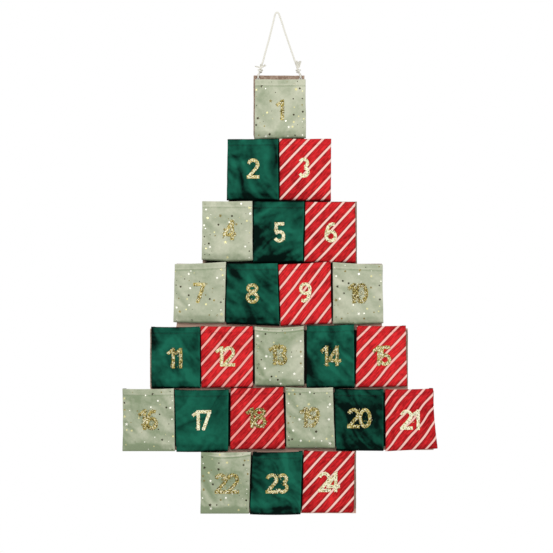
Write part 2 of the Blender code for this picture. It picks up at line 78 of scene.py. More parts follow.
# The cord's route over the nail, from above the left knot to above the right one
CORD_ROUTE = (
    (-0.0274, 0, -0.0935),
    (-0.0223, 0, -0.0745),
    (-0.0171, 0, -0.0560),
    (-0.0123, 0, -0.0375),
    (-0.0079, 0, -0.0190),
    (-0.0048, 0, -0.0060),
    (-0.0035, 0, -0.0018),
    (-0.0020, 0, 0.0007),
    (0, 0, 0.0015),
    (0.0020, 0, 0.0007),
    (0.0036, 0, -0.0018),
    (0.0052, 0, -0.0060),
    (0.0096, 0, -0.0190),
    (0.0154, 0, -0.0375),
    (0.0218, 0, -0.0560),
    (0.0281, 0, -0.0745),
    (0.0347, 0, -0.0935),
)

# The knots' line: an eye through the felt, turns round the strand and a tail
EYE_RADIUS = 4.5 * MM
EYE_CLOSE_LIFT = 8 * MM
EYE_LIFT_SHARES = (1, 0.65, 0.3)
KNOT_TURN_RADIUS = 3.5 * MM
KNOT_PITCH = 3.6 * MM
KNOT_FOOT_LIFT = 9.5 * MM
KNOT_TOP_LIFT = 22 * MM
KNOT_START_DEGREES = 30
KNOT_END_DEGREES = 540
EYE_STEP_DEGREES = 24
TURN_STEP_DEGREES = 22
TAIL_RISE = 2.2 * MM
KNOT_STEP = 1.5 * MM

# Frayed ends: how far each reaches sideways and up from the end of its knot's last turn, and half its spread
# at the tip and at the root
LEFT_TUFTS = (
    (-10 * MM, 3 * MM, 0.9 * MM, 0.9 * MM),
    (9.5 * MM, 5 * MM, 1.8 * MM, 1.2 * MM),
    (2 * MM, 6.5 * MM, 2.4 * MM, 1.6 * MM),
)
RIGHT_TUFTS = ((1.5 * MM, 13 * MM, 5.4 * MM, 3.0 * MM),)

# Where a stripe crosses each striped pocket's mouth, right of its middle, and how steeply its stripes rise
STRIPES = {
    3: (7.3 * MM, 47),
    6: (-2.3 * MM, 48),
    9: (-11.5 * MM, 51),
    12: (-12.5 * MM, 49),
    15: (3.1 * MM, 47),
    18: (-7.5 * MM, 48),
    21: (2.9 * MM, 50),
    24: (-9.4 * MM, 48),
}

# How faint the stripes are, from 0 to 1, and how far they wander, where the print is not crisp and straight
STRIPE_FAINTNESS = {9: 0.15, 12: 0.45, 15: 0.2, 18: 0.6, 21: 0.1}
STRIPE_WANDER = {9: 0.6 * MM, 12: 0.6 * MM, 15: 1.2 * MM, 18: 0.6 * MM, 21: 2.2 * MM}

# How pale each numeral's glitter looks, from old gold at 0 to cream at 1
GLITTER_TONES = {
    1: 0.46, 2: 0.68, 3: 0.90, 4: 0.50, 5: 0.84, 6: 0.84, 7: 0.52, 8: 0.50,
    9: 0.84, 10: 0.36, 11: 0.40, 12: 0.76, 13: 0.40, 14: 0.38, 15: 0.60, 16: 0.40,
    17: 0.92, 18: 0.30, 19: 0.38, 20: 0.48, 21: 0.96, 22: 0.42, 23: 0.60, 24: 0.88,
}

# How light or dark each pocket's cloth lies, around 0
CLOTH_TONES = {
    1: 0.11, 4: 0.08, 7: 0.13, 10: 0.05, 13: -0.05, 16: -0.14, 19: -0.06, 22: -0.34,
    2: -0.03, 5: -0.07, 8: -0.02, 11: 0.04, 14: 0.02, 17: 0.15, 20: -0.38, 23: 0.03,
    3: 0.08, 6: 0.06, 9: 0.22, 12: 0.22, 15: 0.18, 18: 0.0, 21: -0.04, 24: -0.02,
}

# How the pile lies in each cloth: shares of broad patches, painted slope shading, dark creases and light
# streaks
PILE_MANNERS = {
    "sage": (0.34, 0.7, 0.20, 0.14),
    "green": (0.66, 0.8, 0.60, 0.56),
    "red": (0.30, 0.3, 0.30, 0.14),
}

# How far each pocket's corners hang off square, rightwards and up in millimetres: left foot, right foot,
# left mouth and right mouth
OFF_SQUARE = {
    1: ((1.2, -5.2), (2.3, -1.6), (0.9, 0), (3, 0)),
    2: ((-2.6, -1), (-0.5, -1.3), (-2, -2.2), (0, -1.3)),
    3: ((-0.4, -0.2), (0.3, -1.8), (-2.2, -1.3), (2.2, -1.3)),
    4: ((2, 3.7), (0, 1.9), (-1, -0.9), (0, -0.6)),
    5: ((-1.5, -1.6), (-3, 0.6), (-1.5, -1.2), (0.2, -1.2)),
    6: ((-3, 0.6), (-1.5, -0.7), (-2, -2), (-1.5, -2)),
    7: ((-5.5, 1.9), (-4.8, 0.6), (-3.6, -1.1), (-0.5, 3)),
    8: ((-4.4, 2.7), (0.8, -1.2), (-3.2, 0.5), (-1.1, 0.5)),
    9: ((1.8, -1.3), (1.8, 3.2), (-4.1, -2.3), (1, 3.8)),
    10: ((2.6, 1.8), (-0.6, 4), (0.6, 2.4), (1.6, -2.1)),
    11: ((2, -1), (-1.6, -0.2), (0.7, -1.2), (-1.2, -1)),
    12: ((-1.2, 0.4), (0, 0.4), (-4, 0), (1, 0)),
    13: ((1.8, 4.3), (-1.2, 3.6), (0, -0.3), (-0.6, 0.7)),
    14: ((1.4, -0.5), (-4.2, -0.5), (0.8, 1), (-3.6, 3.4)),
    15: ((-3.8, 0.6), (-2.5, 3), (-2.8, 0.8), (-4, 1)),
    16: ((-1.6, -1.3), (-0.3, -1.3), (-4.8, 0.2), (-1.3, 0.8)),
    17: ((0.4, -2.6), (2.2, -1), (-4, -1.5), (4.3, -1.2)),
    18: ((4, 2.3), (12, 2.8), (4.2, 1.4), (9.8, 3.8)),
    19: ((12.5, 4.7), (8.5, 4), (9.5, 3.6), (5.5, 3)),
    20: ((8.5, 0), (2, -0.8), (4, 0.6), (3, -0.4)),
    21: ((4, -1.6), (0, 3.8), (1.6, -0.8), (-1.2, 1)),
    22: ((-3.2, -1), (-7.6, -1), (-3.4, -1), (-2.4, -0.4)),
    23: ((-8, -2.3), (-8, -2.3), (-3, -0.8), (-3, 0.6)),
    24: ((-7.6, 1), (-5.5, 1), (-4.6, 2), (-2.6, 1)),
}
LOOSE_SIDE = 0.8 * MM

# Feet and mouths that hang down in their middles, and hems that run up at their ends
FOOT_SAGS = {4: 3.0 * MM, 7: 1.1 * MM, 10: 1.0 * MM, 13: 1.0 * MM, 17: 1.0 * MM, 23: 1.2 * MM}
MOUTH_SAGS = {13: 2.4 * MM, 19: 0.6 * MM}
HEM_CURVES = {13: 2.5 * MM, 22: 5 * MM}
HEM_RAISES = {13: 2 * MM, 19: 3 * MM, 22: 2 * MM}

# Share of folds and patches that a pocket's pile shows, where it lies smoother or rougher than on the others
PILE_SHARES = {13: 1.3, 16: 1.5, 17: 0.55, 19: 1.4, 20: 0.8, 22: 1.9}

# A side's wander and swell and the steps that it runs back in, a mouth sag's reach and crisp stripes' wander
EDGE_WANDER = 0.35 * MM
SIDE_SWELL = 0.35 * MM
SIDE_STEPS = 6
SAG_REACH = 30 * MM
STRAIGHT_WANDER = 0.3 * MM

# Share of a numeral's loose flakes, which lie strewn between and beside its strokes
STRAY_FLAKES = {1: 0.3, 4: 0.45, 7: 0.3, 10: 0.7, 13: 0.85, 16: 0.8, 19: 0.8, 22: 0.5, 18: 0.3}


# Painted shade, nearly black, for what lies in the narrow gaps between the pockets
GAP_PAINTED_SHADE = (0.012, 0.010, 0.008)
FELT_GAP_PAINTED_SHADE = (0.012, 0.009, 0.007)


def cloth_of(number):
    """Which of the three cloths a pocket is made of."""
    return CLOTHS[(number - 1) % len(CLOTHS)]


def row_depth():
    """The height of one row of the felt."""
    low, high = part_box("felt_backing")
    return (high.z - low.z) / len(ROW_COUNTS)


def colour(red, green, blue):
    """Linear colour of a screen colour from 0 to 255."""
    def straight(value):
        light = value / 255
        return light / 12.92 if light <= 0.04045 else ((light + 0.055) / 1.055) ** 2.4

    return tuple(straight(value) for value in (red, green, blue))


def size(name, description, default):
    """A length setting, in metres."""
    return FloatProperty(
        name=name, description=description, default=default, min=0, precision=5, unit="LENGTH"
    )


def share(name, description, default, low=0.0, high=1.0):
    """A plain number setting."""
    return FloatProperty(name=name, description=description, default=default, min=low, max=high, precision=4)


def count(name, description, default):
    """A whole number setting."""
    return IntProperty(name=name, description=description, default=default, min=1)


def paint(name, description, default):
    """A colour setting."""
    return FloatVectorProperty(
        name=name, description=description, default=default, size=3, min=0, max=1, subtype="COLOR"
    )


class CalendarStageSettings(PropertyGroup):
    camera_distance: size("Camera distance", "From the camera to the felt", 4.0)
    view_width: size("View width", "Width that the camera sees at the felt", 1.0695)
    view_drop: size("View drop", "Height of the nail above the middle of the view", 0.5092)
    view_shift: size("View shift", "Distance of the nail to the right of the middle of the view", 1.2 * MM)
    sensor: share("Sensor", "Width of the camera's sensor in millimetres", 36.0, 1.0, 100.0)
    floor_width: size("Floor width", "Side of the square floor", 3.0)
    floor_drop: size("Floor drop", "Height of the nail above the floor", 1.5)
    lamp_width: size("Lamp width", "Side of the large soft lamp", 1.6)
    lamp_power: share("Lamp power", "Power of the large soft lamp in watts", 24.0, 0.0, 500.0)
    side_power: share("Side power", "Power of the small side lamp in watts", 9.0, 0.0, 500.0)
    sky: share("Surrounding light", "Strength of the even light from all round", 0.62, 0.0, 4.0)


class CalendarCordSettings(PropertyGroup):
    diameter: size("Diameter", "Thickness of the cord", 3.0 * MM)
    plies: count("Plies", "Yarns twisted into the cord", 3)
    lay_length: size("Lay length", "Length of one full twist of the yarns", 9.5 * MM)
    step: size("Step", "Spacing of the cord's rings", 0.6 * MM)
    profile_points: count("Profile points", "Points round each yarn", 8)
    fibres: count("Fibres", "Loose fibres in a frayed tuft", 180)
    fibre_thickness: size("Fibre thickness", "Thickness of a loose fibre at its root", 0.5 * MM)
    fullness: share("Fullness", "Reach of the yarns beyond the cord's even thickness", 1.18, 1.0, 1.5)
    cotton: paint("Cotton", "Colour of the cord", colour(246, 244, 234))
    cotton_shade: paint("Cotton shade", "Colour between the yarns", colour(226, 222, 208))


class CalendarFeltSettings(PropertyGroup):
    step: size("Step", "Spacing of the felt's grid", 5 * MM)
    wander: size("Wander", "How far the cut edge strays from its line", 0.5 * MM)
    side_trim: size("Side trim", "From a pocket's outer side in to the cut edge", 1.6 * MM)
    mouth_trim: size("Mouth trim", "From a mouth in to the cut edge", 3.4 * MM)
    foot_trim: size("Foot trim", "From a foot in to the cut edge", 2.0 * MM)
    felt: paint("Felt", "Colour of the felt", colour(196, 172, 152))
    felt_shade: paint("Felt shade", "Colour of the felt's darker fibres", colour(150, 124, 106))
    # Painted light: a lighter felt colour for the strips between the lower rows
    strip: paint("Strip", "Colour of the brushed felt between the rows", colour(222, 184, 164))


class CalendarPocketSettings(PropertyGroup):
    coarse_step: size("Coarse step", "Spacing of the cloth while it settles", 2.8 * MM)
    fine_step: size("Fine step", "Spacing of the finished cloth", 1.3 * MM)
    enlargement: share("Enlargement", "How many times its size the cloth settles at", 10.0, 1.0, 50.0)
    frames: count("Frames", "Steps of the cloth's settling", 20)
    largest_fold: size("Largest fold", "Furthest that settled cloth may leave its plain form", 2.0 * MM)
    body_share: share("Body share", "Depth of the side folds, as a share of the pocket's depth", 0.714)
    crown_share: share("Crown share", "Fullness of the middle, as a share of the pocket's depth", 0.248)
    foot_share: share("Foot share", "Depth of the foot's fold, as a share of the pocket's depth", 0.466)
    foot_rise: size("Foot rise", "Height over which the foot rolls back", 15 * MM)
    hem_width: size("Hem width", "From the mouth to the hem's stitching", 12 * MM)
    hem_step: size("Hem step", "How far the doubled hem stands out", 0.6 * MM)
    groove: size("Groove", "How deep the stitching draws the cloth in", 0.8 * MM)
    sag: size("Sag", "How far the mouth hangs down in its middle", 0.7 * MM)
    pucker: size("Pucker", "Height of the gathers along the stitching", 0.25 * MM)
    pucker_pitch: size("Pucker pitch", "Spacing of the gathers along the stitching", 6 * MM)
    wall: size("Wall", "Thickness of the doubled cloth at the hem", 1.6 * MM)
    body_wall_share: share("Body wall", "Thickness of the single cloth, as a share of the hem's", 0.6)
    lean: size("Lean", "How far the side runs in towards its seam", 1.2 * MM)
    allowance: size("Allowance", "Width of the cloth sewn to the felt", 6 * MM)


class CalendarClothSettings(PropertyGroup):
    sage: paint("Sage", "Light lie of the sage cloth", colour(208, 210, 186))
    sage_shade: paint("Sage shade", "Dark lie of the sage cloth", colour(142, 156, 124))
    green: paint("Green", "Light lie of the green velvet", colour(28, 106, 84))
    green_shade: paint("Green shade", "Dark lie of the green velvet", colour(2, 20, 15))
    red: paint("Red", "Light lie of the red cloth", colour(234, 46, 50))
    red_shade: paint("Red shade", "Dark lie of the red cloth", colour(142, 13, 18))
    faint_stripe: paint("Faint stripe", "Colour of the stripes where they are faint", colour(250, 128, 122))
    stripe: paint("Stripe", "Colour of the pale stripes", colour(254, 210, 198))
    stripe_pitch: size("Stripe pitch", "From one stripe to the next, square to them", 19.8 * MM)
    stripe_width: size("Stripe width", "Width of a pale stripe", 4.1 * MM)
    stripe_degrees: share("Stripe angle", "How steeply the stripes rise, in degrees", 48.0, 0.0, 90.0)


class CalendarNumeralSettings(PropertyGroup):
    film: size("Film", "Thickness of the glitter film", 0.7 * MM)
    lift: size("Lift", "Gap of the film's glue over the cloth", 0.05 * MM)
    step: size("Step", "Spacing of the cuts that let the film follow the cloth", 2.4 * MM)
    flake_radius: size("Flake radius", "Largest radius of a glitter flake", 1.45 * MM)
    flake_pitch: size("Flake pitch", "Spacing of the flakes", 1.75 * MM)
    sparkle: share("Sparkle", "How much one flake's shine differs from the next", 0.44)
    flake_depth: size("Flake depth", "Thickness of a flake", 0.1 * MM)
    flake_degrees: share("Flake tilt", "Furthest that a flake tilts, in degrees", 16.0, 0.0, 60.0)
    cream: paint("Cream", "Palest glitter", colour(255, 252, 224))
    gold: paint("Gold", "Middle glitter", colour(206, 188, 104))
    old_gold: paint("Old gold", "Darkest glitter", colour(82, 70, 24))


class CalendarTrimSettings(PropertyGroup):
    stitch: size("Stitch", "Length of a stitch", 2.7 * MM)
    stitch_pitch: size("Stitch pitch", "From one stitch to the next", 3.8 * MM)
    thread: size("Thread", "Thickness of the sewing thread", 0.45 * MM)
    seam_inset: size("Seam inset", "From a pocket's side to its seam on the felt's back", 4.2 * MM)
    motifs: count("Motifs", "Foil dots and stars on a sage pocket", 44)
    motif_gap: size("Motif gap", "Least distance between two motifs", 6.5 * MM)
    foil: size("Foil", "Thickness of the foil over the cloth", 0.06 * MM)


SETTINGS = {
    "calendar_stage": CalendarStageSettings,
    "calendar_cord": CalendarCordSettings,
    "calendar_felt": CalendarFeltSettings,
    "calendar_pockets": CalendarPocketSettings,
    "calendar_cloth": CalendarClothSettings,
    "calendar_numerals": CalendarNumeralSettings,
    "calendar_trim": CalendarTrimSettings,
}


# Shader nodes

def new_material(name):
    """A material with its node tree and its Principled shader."""
    material = bpy.data.materials.new(name)
    material.use_nodes = True
    return material, material.node_tree, material.node_tree.nodes["Principled BSDF"]


def feed(tree, socket, value):
    """Link a socket to another one, or give it a plain value."""
    if isinstance(value, bpy.types.NodeSocket):
        tree.links.new(value, socket)
    else:
        socket.default_value = value


def math_node(tree, operation, *terms, clamp=False):
    """A Math node's result."""
    made = tree.nodes.new("ShaderNodeMath")
    made.operation = operation
    made.use_clamp = clamp
    for socket, term in zip(made.inputs, terms):
        feed(tree, socket, term)
    return made.outputs[0]


def plus(tree, first, second, clamp=False):
    """The sum of two values."""
    return math_node(tree, "ADD", first, second, clamp=clamp)


def minus(tree, first, second):
    """One value less another."""
    return math_node(tree, "SUBTRACT", first, second)


def times(tree, first, second):
    """The product of two values."""
    return math_node(tree, "MULTIPLY", first, second)


def opposite(tree, value):
    """1 less a value."""
    return minus(tree, 1.0, value)


def from_whole(tree, value):
    """How far a value is from the nearest whole number, on either side."""
    wave = minus(tree, math_node(tree, "FRACT", plus(tree, value, 0.5)), 0.5)
    return math_node(tree, "ABSOLUTE", wave)


def split_place(tree, place):
    """The outputs X, Y and Z of a place."""
    parts = tree.nodes.new("ShaderNodeSeparateXYZ")
    tree.links.new(place, parts.inputs[0])
    return parts.outputs


def vector_node(tree, operation, *terms):
    """A Vector Math node's vector."""
    made = tree.nodes.new("ShaderNodeVectorMath")
    made.operation = operation
    for socket, term in zip(made.inputs, terms):
        feed(tree, socket, term)
    return made.outputs[0]


def mix_colours(tree, factor, first, second):
    """A colour between two others."""
    made = tree.nodes.new("ShaderNodeMix")
    made.data_type = "RGBA"
    feed(tree, made.inputs[0], factor)
    for socket, value in ((made.inputs[6], first), (made.inputs[7], second)):
        feed(tree, socket, value if isinstance(value, bpy.types.NodeSocket) else (*value, 1))
    return made.outputs[2]


def ramp_between(tree, value, low, high):
    """0 below low, 1 above high and a smooth step between them."""
    made = tree.nodes.new("ShaderNodeMapRange")
    made.interpolation_type = "SMOOTHSTEP"
    feed(tree, made.inputs["Value"], value)
    made.inputs["From Min"].default_value = low
    made.inputs["From Max"].default_value = high
    return made.outputs["Result"]


def noise_node(tree, place, scale, detail=2.0, distortion=0.0):
    """A Noise texture's value."""
    made = tree.nodes.new("ShaderNodeTexNoise")
    feed(tree, made.inputs["Vector"], place)
    feed(tree, made.inputs["Scale"], scale)
    made.inputs["Detail"].default_value = detail
    made.inputs["Distortion"].default_value = distortion
    return made.outputs["Fac"]


def attribute_value(tree, name):
    """A number kept on the mesh."""
    made = tree.nodes.new("ShaderNodeAttribute")
    made.attribute_name = name
    return made.outputs["Fac"]


def cloth_place(tree):
    """The place on the unfolded cloth, in metres."""
    made = tree.nodes.new("ShaderNodeUVMap")
    made.uv_map = "cloth"
    return made.outputs["UV"]


def object_place(tree):
    """The place in the object, in metres."""
    return tree.nodes.new("ShaderNodeTexCoord").outputs["Object"]


def add_bump(tree, shader, height, depth):
    """Feed the shader's normal from a height."""
    made = tree.nodes.new("ShaderNodeBump")
    made.inputs["Distance"].default_value = depth
    made.inputs["Strength"].default_value = 1
    feed(tree, made.inputs["Height"], height)
    tree.links.new(made.outputs["Normal"], shader.inputs["Normal"])


def finish(tree, shader, base, roughness, specular=0.5, sheen=0.0, sheen_roughness=0.5, metallic=0.0):
    """Feed the shader's colour, and set how rough, glossy, fuzzy and metallic the surface is."""
    values = {
        "Base Color": base,
        "Roughness": roughness,
        "Specular IOR Level": specular,
        "Sheen Weight": sheen,
        "Sheen Roughness": sheen_roughness,
        "Metallic": metallic,
    }
    for name, value in values.items():
        feed(tree, shader.inputs[name], value)


def grain_group():
    """Fibre grain that all the soft materials share: a height for bump, and a tone between 0 and 1."""
    name = "fibre_grain"
    if name in bpy.data.node_groups:
        return bpy.data.node_groups[name]
    tree = bpy.data.node_groups.new(name, "ShaderNodeTree")
    for socket, way, kind in (
        ("Place", "INPUT", "Vector"),
        ("Fine scale", "INPUT", "Float"),
        ("Coarse scale", "INPUT", "Float"),
        ("Height", "OUTPUT", "Float"),
        ("Tone", "OUTPUT", "Float"),
    ):
        tree.interface.new_socket(socket, in_out=way, socket_type=f"NodeSocket{kind}")
    given = tree.nodes.new("NodeGroupInput").outputs
    result = tree.nodes.new("NodeGroupOutput").inputs
    fine = noise_node(tree, given["Place"], given["Fine scale"])
    coarse = noise_node(tree, given["Place"], given["Coarse scale"], detail=4.0, distortion=0.6)
    tree.links.new(plus(tree, times(tree, fine, 0.7), times(tree, coarse, 0.3)), result["Height"])
    tree.links.new(coarse, result["Tone"])
    return tree


def add_grain(tree, place, fine, coarse):
    """Place the grain group in a material and return its height and tone."""
    made = tree.nodes.new("ShaderNodeGroup")
    made.node_tree = grain_group()
    tree.links.new(place, made.inputs["Place"])
    made.inputs["Fine scale"].default_value = fine
    made.inputs["Coarse scale"].default_value = coarse
    return made.outputs["Height"], made.outputs["Tone"]


def lie_and_shade_of_pile(tree, tone, spread):
    """How light the pile lies: the settled cloth's own tone with its painted slope and rim shading, broken
    up by the grain.
    """
    broken = times(tree, minus(tree, tone, 0.5), spread)
    return plus(tree, attribute_value(tree, "pile_lay_and_shade"), broken, clamp=True)


def shade_in_gaps(tree, base):
    """A cloth's colour with painted shade, nearly black where its sides and foot run back between the
    pockets.
    """
    return mix_colours(tree, attribute_value(tree, "gap_shade"), base, GAP_PAINTED_SHADE)


def sage_material(cloth):
    """Sage velvet with a short, silky pile."""
    material, tree, shader = new_material("sage_velvet")
    height, tone = add_grain(tree, cloth_place(tree), 2600, 190)
    sage = mix_colours(tree, lie_and_shade_of_pile(tree, tone, 0.5), cloth.sage_shade, cloth.sage)
    finish(tree, shader, shade_in_gaps(tree, sage), 0.5, specular=0.15, sheen=0.05, sheen_roughness=0.4)
    add_bump(tree, shader, height, 0.25 * MM)
    return material


def green_material(cloth):
    """Dark green crushed velvet."""
    material, tree, shader = new_material("green_velvet")
    height, tone = add_grain(tree, cloth_place(tree), 2400, 120)
    green = mix_colours(tree, lie_and_shade_of_pile(tree, tone, 0.5), cloth.green_shade, cloth.green)
    finish(tree, shader, shade_in_gaps(tree, green), 0.6, specular=0.03, sheen=0.04, sheen_roughness=0.35)
    shader.inputs["Sheen Tint"].default_value = (*cloth.green, 1)
    add_bump(tree, shader, height, 0.3 * MM)
    return material


def red_material(cloth):
    """Red velvet with slanting pale stripes."""
    material, tree, shader = new_material("red_striped_velvet")
    place = cloth_place(tree)
    height, tone = add_grain(tree, place, 2600, 180)
    parts = split_place(tree, place)
    slope = math.radians(cloth.stripe_degrees)
    across = minus(tree, times(tree, parts["X"], math.sin(slope)), times(tree, parts["Y"], math.cos(slope)))
    turns = math_node(tree, "DIVIDE", across, cloth.stripe_pitch)
    away = times(tree, from_whole(tree, turns), cloth.stripe_pitch)
    ragged = plus(tree, away, times(tree, noise_node(tree, place, 1500), 0.5 * MM))
    half = cloth.stripe_width / 2
    outside = ramp_between(tree, ragged, half, half + 0.5 * MM)
    beyond = ramp_between(tree, ragged, half + 1.1 * MM, half + 2.4 * MM)
    edging = times(tree, opposite(tree, beyond), 0.6)
    ribs = tree.nodes.new("ShaderNodeCombineXYZ")
    feed(tree, ribs.inputs[0], times(tree, across, 6.0))
    feed(tree, ribs.inputs[1], parts["Y"])
    ribbed = times(tree, minus(tree, noise_node(tree, ribs.outputs[0], 80), 0.5), 2.2)
    lie = plus(tree, lie_and_shade_of_pile(tree, tone, 0.8), minus(tree, ribbed, edging), clamp=True)
    red = mix_colours(tree, lie, cloth.red_shade, cloth.red)
    stripe = mix_colours(tree, attribute_value(tree, "faintness"), cloth.stripe, cloth.faint_stripe)
    striped = shade_in_gaps(tree, mix_colours(tree, outside, stripe, red))
    finish(tree, shader, striped, 0.6, specular=0.06, sheen=0.02, sheen_roughness=0.4)
    add_bump(tree, shader, height, 0.25 * MM)
    return material


def felt_material(settings):
    """Pressed felt: matt, with fibres lying every way; painted shade, nearly black, in the slits between the
    pockets and under them, and painted light on the strips between the lower rows.
    """
    material, tree, shader = new_material("taupe_felt")
    place = object_place(tree)
    height, tone = add_grain(tree, place, 1800, 260)
    speck = ramp_between(tree, tone, 0.3, 0.72)
    felt = mix_colours(tree, speck, settings.felt_shade, settings.felt)
    parts = split_place(tree, place)
    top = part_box("felt_backing")[1].z
    rows = math_node(tree, "DIVIDE", minus(tree, top, parts["Z"]), row_depth())
    from_row = times(tree, from_whole(tree, rows), row_depth())
    # Painted light on the strips between the lower rows; these strips, the top strip and the cut edge stay
    # out of the painted shade
    close = opposite(tree, ramp_between(tree, from_row, 7 * MM, 10 * MM))
    strip_light_mask = times(tree, close, ramp_between(tree, rows, 3.4, 3.6))
    between = math_node(tree, "MAXIMUM", strip_light_mask, opposite(tree, ramp_between(tree, rows, 0.09, 0.12)))
    bare = math_node(tree, "MAXIMUM", between, attribute_value(tree, "open_edge"))
    strip = mix_colours(tree, strip_light_mask, felt, settings.strip)
    # Painted shade: everywhere else the felt's front is nearly black; its back keeps the plain felt
    shown = mix_colours(tree, opposite(tree, bare), strip, FELT_GAP_PAINTED_SHADE)
    front = ramp_between(tree, times(tree, parts["Y"], -1.0), 0.0, 1.2 * MM)
    finish(tree, shader, mix_colours(tree, front, felt, shown), 0.95, specular=0.1, sheen=0.2)
    add_bump(tree, shader, height, 0.6 * MM)
    return material


def cotton_material(settings):
    """Twisted cotton, with darker specks strewn at random."""
    material, tree, shader = new_material("cream_cotton")
    height, tone = add_grain(tree, object_place(tree), 5200, 900)
    cotton = mix_colours(tree, ramp_between(tree, tone, 0.25, 0.65), settings.cotton_shade, settings.cotton)
    finish(tree, shader, cotton, 0.9, specular=0.15, sheen=0.2)
    add_bump(tree, shader, height, 0.15 * MM)
    return material


def glitter_material(settings):
    """Glitter film: small metal flakes that each shine their own way."""
    material, tree, shader = new_material("gold_glitter")
    cells = tree.nodes.new("ShaderNodeTexVoronoi")
    cells.inputs["Scale"].default_value = 1150
    tree.links.new(object_place(tree), cells.inputs["Vector"])
    parts = tree.nodes.new("ShaderNodeSeparateColor")
    tree.links.new(cells.outputs["Color"], parts.inputs[0])
    # Painted glint: each cell's colour tone shifts at random, as well as its normal turning
    broken = times(tree, minus(tree, parts.outputs["Red"], 0.5), 0.4)
    tone = plus(tree, attribute_value(tree, "glitter_tone"), broken, clamp=True)
    dark = mix_colours(tree, ramp_between(tree, tone, 0.05, 0.5), settings.old_gold, settings.gold)
    base = mix_colours(tree, ramp_between(tree, tone, 0.5, 0.9), dark, settings.cream)
    finish(tree, shader, base, 0.42, metallic=0.65)
    tilt = vector_node(tree, "SUBTRACT", cells.outputs["Color"], (0.5, 0.5, 0.5))
    normal = tree.nodes.new("ShaderNodeNewGeometry").outputs["Normal"]
    turned = vector_node(tree, "ADD", normal, vector_node(tree, "MULTIPLY", tilt, (0.7, 0.7, 0.7)))
    tree.links.new(vector_node(tree, "NORMALIZE", turned), shader.inputs["Normal"])
    return material


def foil_material():
    """Pressed foil in the tint kept on each motif."""
    material, tree, shader = new_material("print_foil")
    tint = tree.nodes.new("ShaderNodeAttribute")
    tint.attribute_name = "foil_tint"
    finish(tree, shader, tint.outputs["Color"], 0.35, metallic=0.8)
    add_bump(tree, shader, noise_node(tree, object_place(tree), 1600), 0.06 * MM)
    return material


def thread_material(name, base):
    """Sewing thread with its twist."""
    material, tree, shader = new_material(name)
    height, tone = add_grain(tree, object_place(tree), 6000, 1500)
    light = tuple(min(value * 1.35 + 0.01, 1) for value in base)
    finish(tree, shader, mix_colours(tree, tone, tuple(base), light), 0.65)
    add_bump(tree, shader, height, 0.08 * MM)
    return material


# Pieces

def add_piece(name, mesh, material, body, replaced=()):
    """Link a finished mesh as a piece that rides on a body."""
    made = bpy.data.objects.new(name, mesh)
    if not mesh.materials:
        mesh.materials.append(material)
    bpy.context.scene.collection.objects.link(made)
    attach(made, body)
    if replaced:
        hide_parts(*replaced)
    return made


def mesh_of(bm, name, smooth=True):
    """A bmesh as a mesh, shaded smooth unless it is made of plates."""
    mesh = bpy.data.meshes.new(name)
    bm.to_mesh(mesh)
    bm.free()
    if smooth:
        mesh.shade_smooth()
    return mesh


def verts_of(items):
    """The vertices among what a bmesh operator made."""
    return [item for item in items if isinstance(item, bmesh.types.BMVert)]


def face_front(bm, behind=math.inf):
    """Turn all faces over if those before a depth look backwards."""
    if sum(face.normal.y for face in bm.faces if face.calc_center_median().y < behind) > 0:
        bmesh.ops.reverse_faces(bm, faces=bm.faces)


def small_shape(name, tone_layer, shape, **measures):
    """A small closed mesh from one bmesh operator, to be copied many times."""
    bm = bmesh.new()
    if tone_layer:
        bm.verts.layers.float.new(tone_layer)
    shape(bm, **measures)
    return mesh_of(bm, name)


def copy_onto(bm, shape, stand, tone_layer="", tone=0.0):
    """Add a copy of a small mesh to a bmesh, with a tone for all its vertices where a layer is named."""
    one = shape.copy()
    one.transform(stand)
    if tone_layer:
        one.attributes[tone_layer].data.foreach_set("value", [tone] * len(one.vertices))
    bm.from_mesh(one)
    bpy.data.meshes.remove(one)


def smooth_line(points, step):
    """Points about one step apart along a centripetal Catmull-Rom curve through the given points."""
    points = [Vector(point) for point in points]
    ends = [2 * points[0] - points[1]] + points + [2 * points[-1] - points[-2]]
    line = []
    for a, b, c, d in zip(ends, ends[1:], ends[2:], ends[3:]):
        times = [0.0]
        for first, second in ((a, b), (b, c), (c, d)):
            times.append(times[-1] + math.sqrt((second - first).length))
        pieces = max(1, round((c - b).length / step))
        for piece in range(pieces):
            t = times[1] + (times[2] - times[1]) * piece / pieces
            ab = a.lerp(b, (t - times[0]) / (times[1] - times[0]))
            bc = b.lerp(c, (t - times[1]) / (times[2] - times[1]))
            cd = c.lerp(d, (t - times[2]) / (times[3] - times[2]))
            abc = ab.lerp(bc, (t - times[0]) / (times[2] - times[0]))
            bcd = bc.lerp(cd, (t - times[1]) / (times[3] - times[1]))
            line.append(abc.lerp(bcd, (t - times[1]) / (times[2] - times[1])))
    return line + [points[-1]]


# Cord and knots

def knot_frame(side):
    """A knot's foot on its strand, and the directions along the strand, backwards and across."""
    hole_x = MIDDLE_X + side * HOLE_SPACING / 2
    hole_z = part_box("felt_backing")[1].z - HOLE_DROP + EYE_RADIUS
    above = Vector(CORD_ROUTE[0] if side < 0 else CORD_ROUTE[-1])
    along = (above - Vector((hole_x, 0, hole_z))).normalized()
    foot = Vector((hole_x, 0, hole_z)) + along * KNOT_FOOT_LIFT
    back = Vector((0, 1, 0))
    return foot, along, back, along.cross(back) * side


def knot_top(side):
    """Where the knot's strand meets the hanging cord."""
    foot, along, _, _ = knot_frame(side)
    return foot + along * (KNOT_TOP_LIFT - KNOT_FOOT_LIFT)


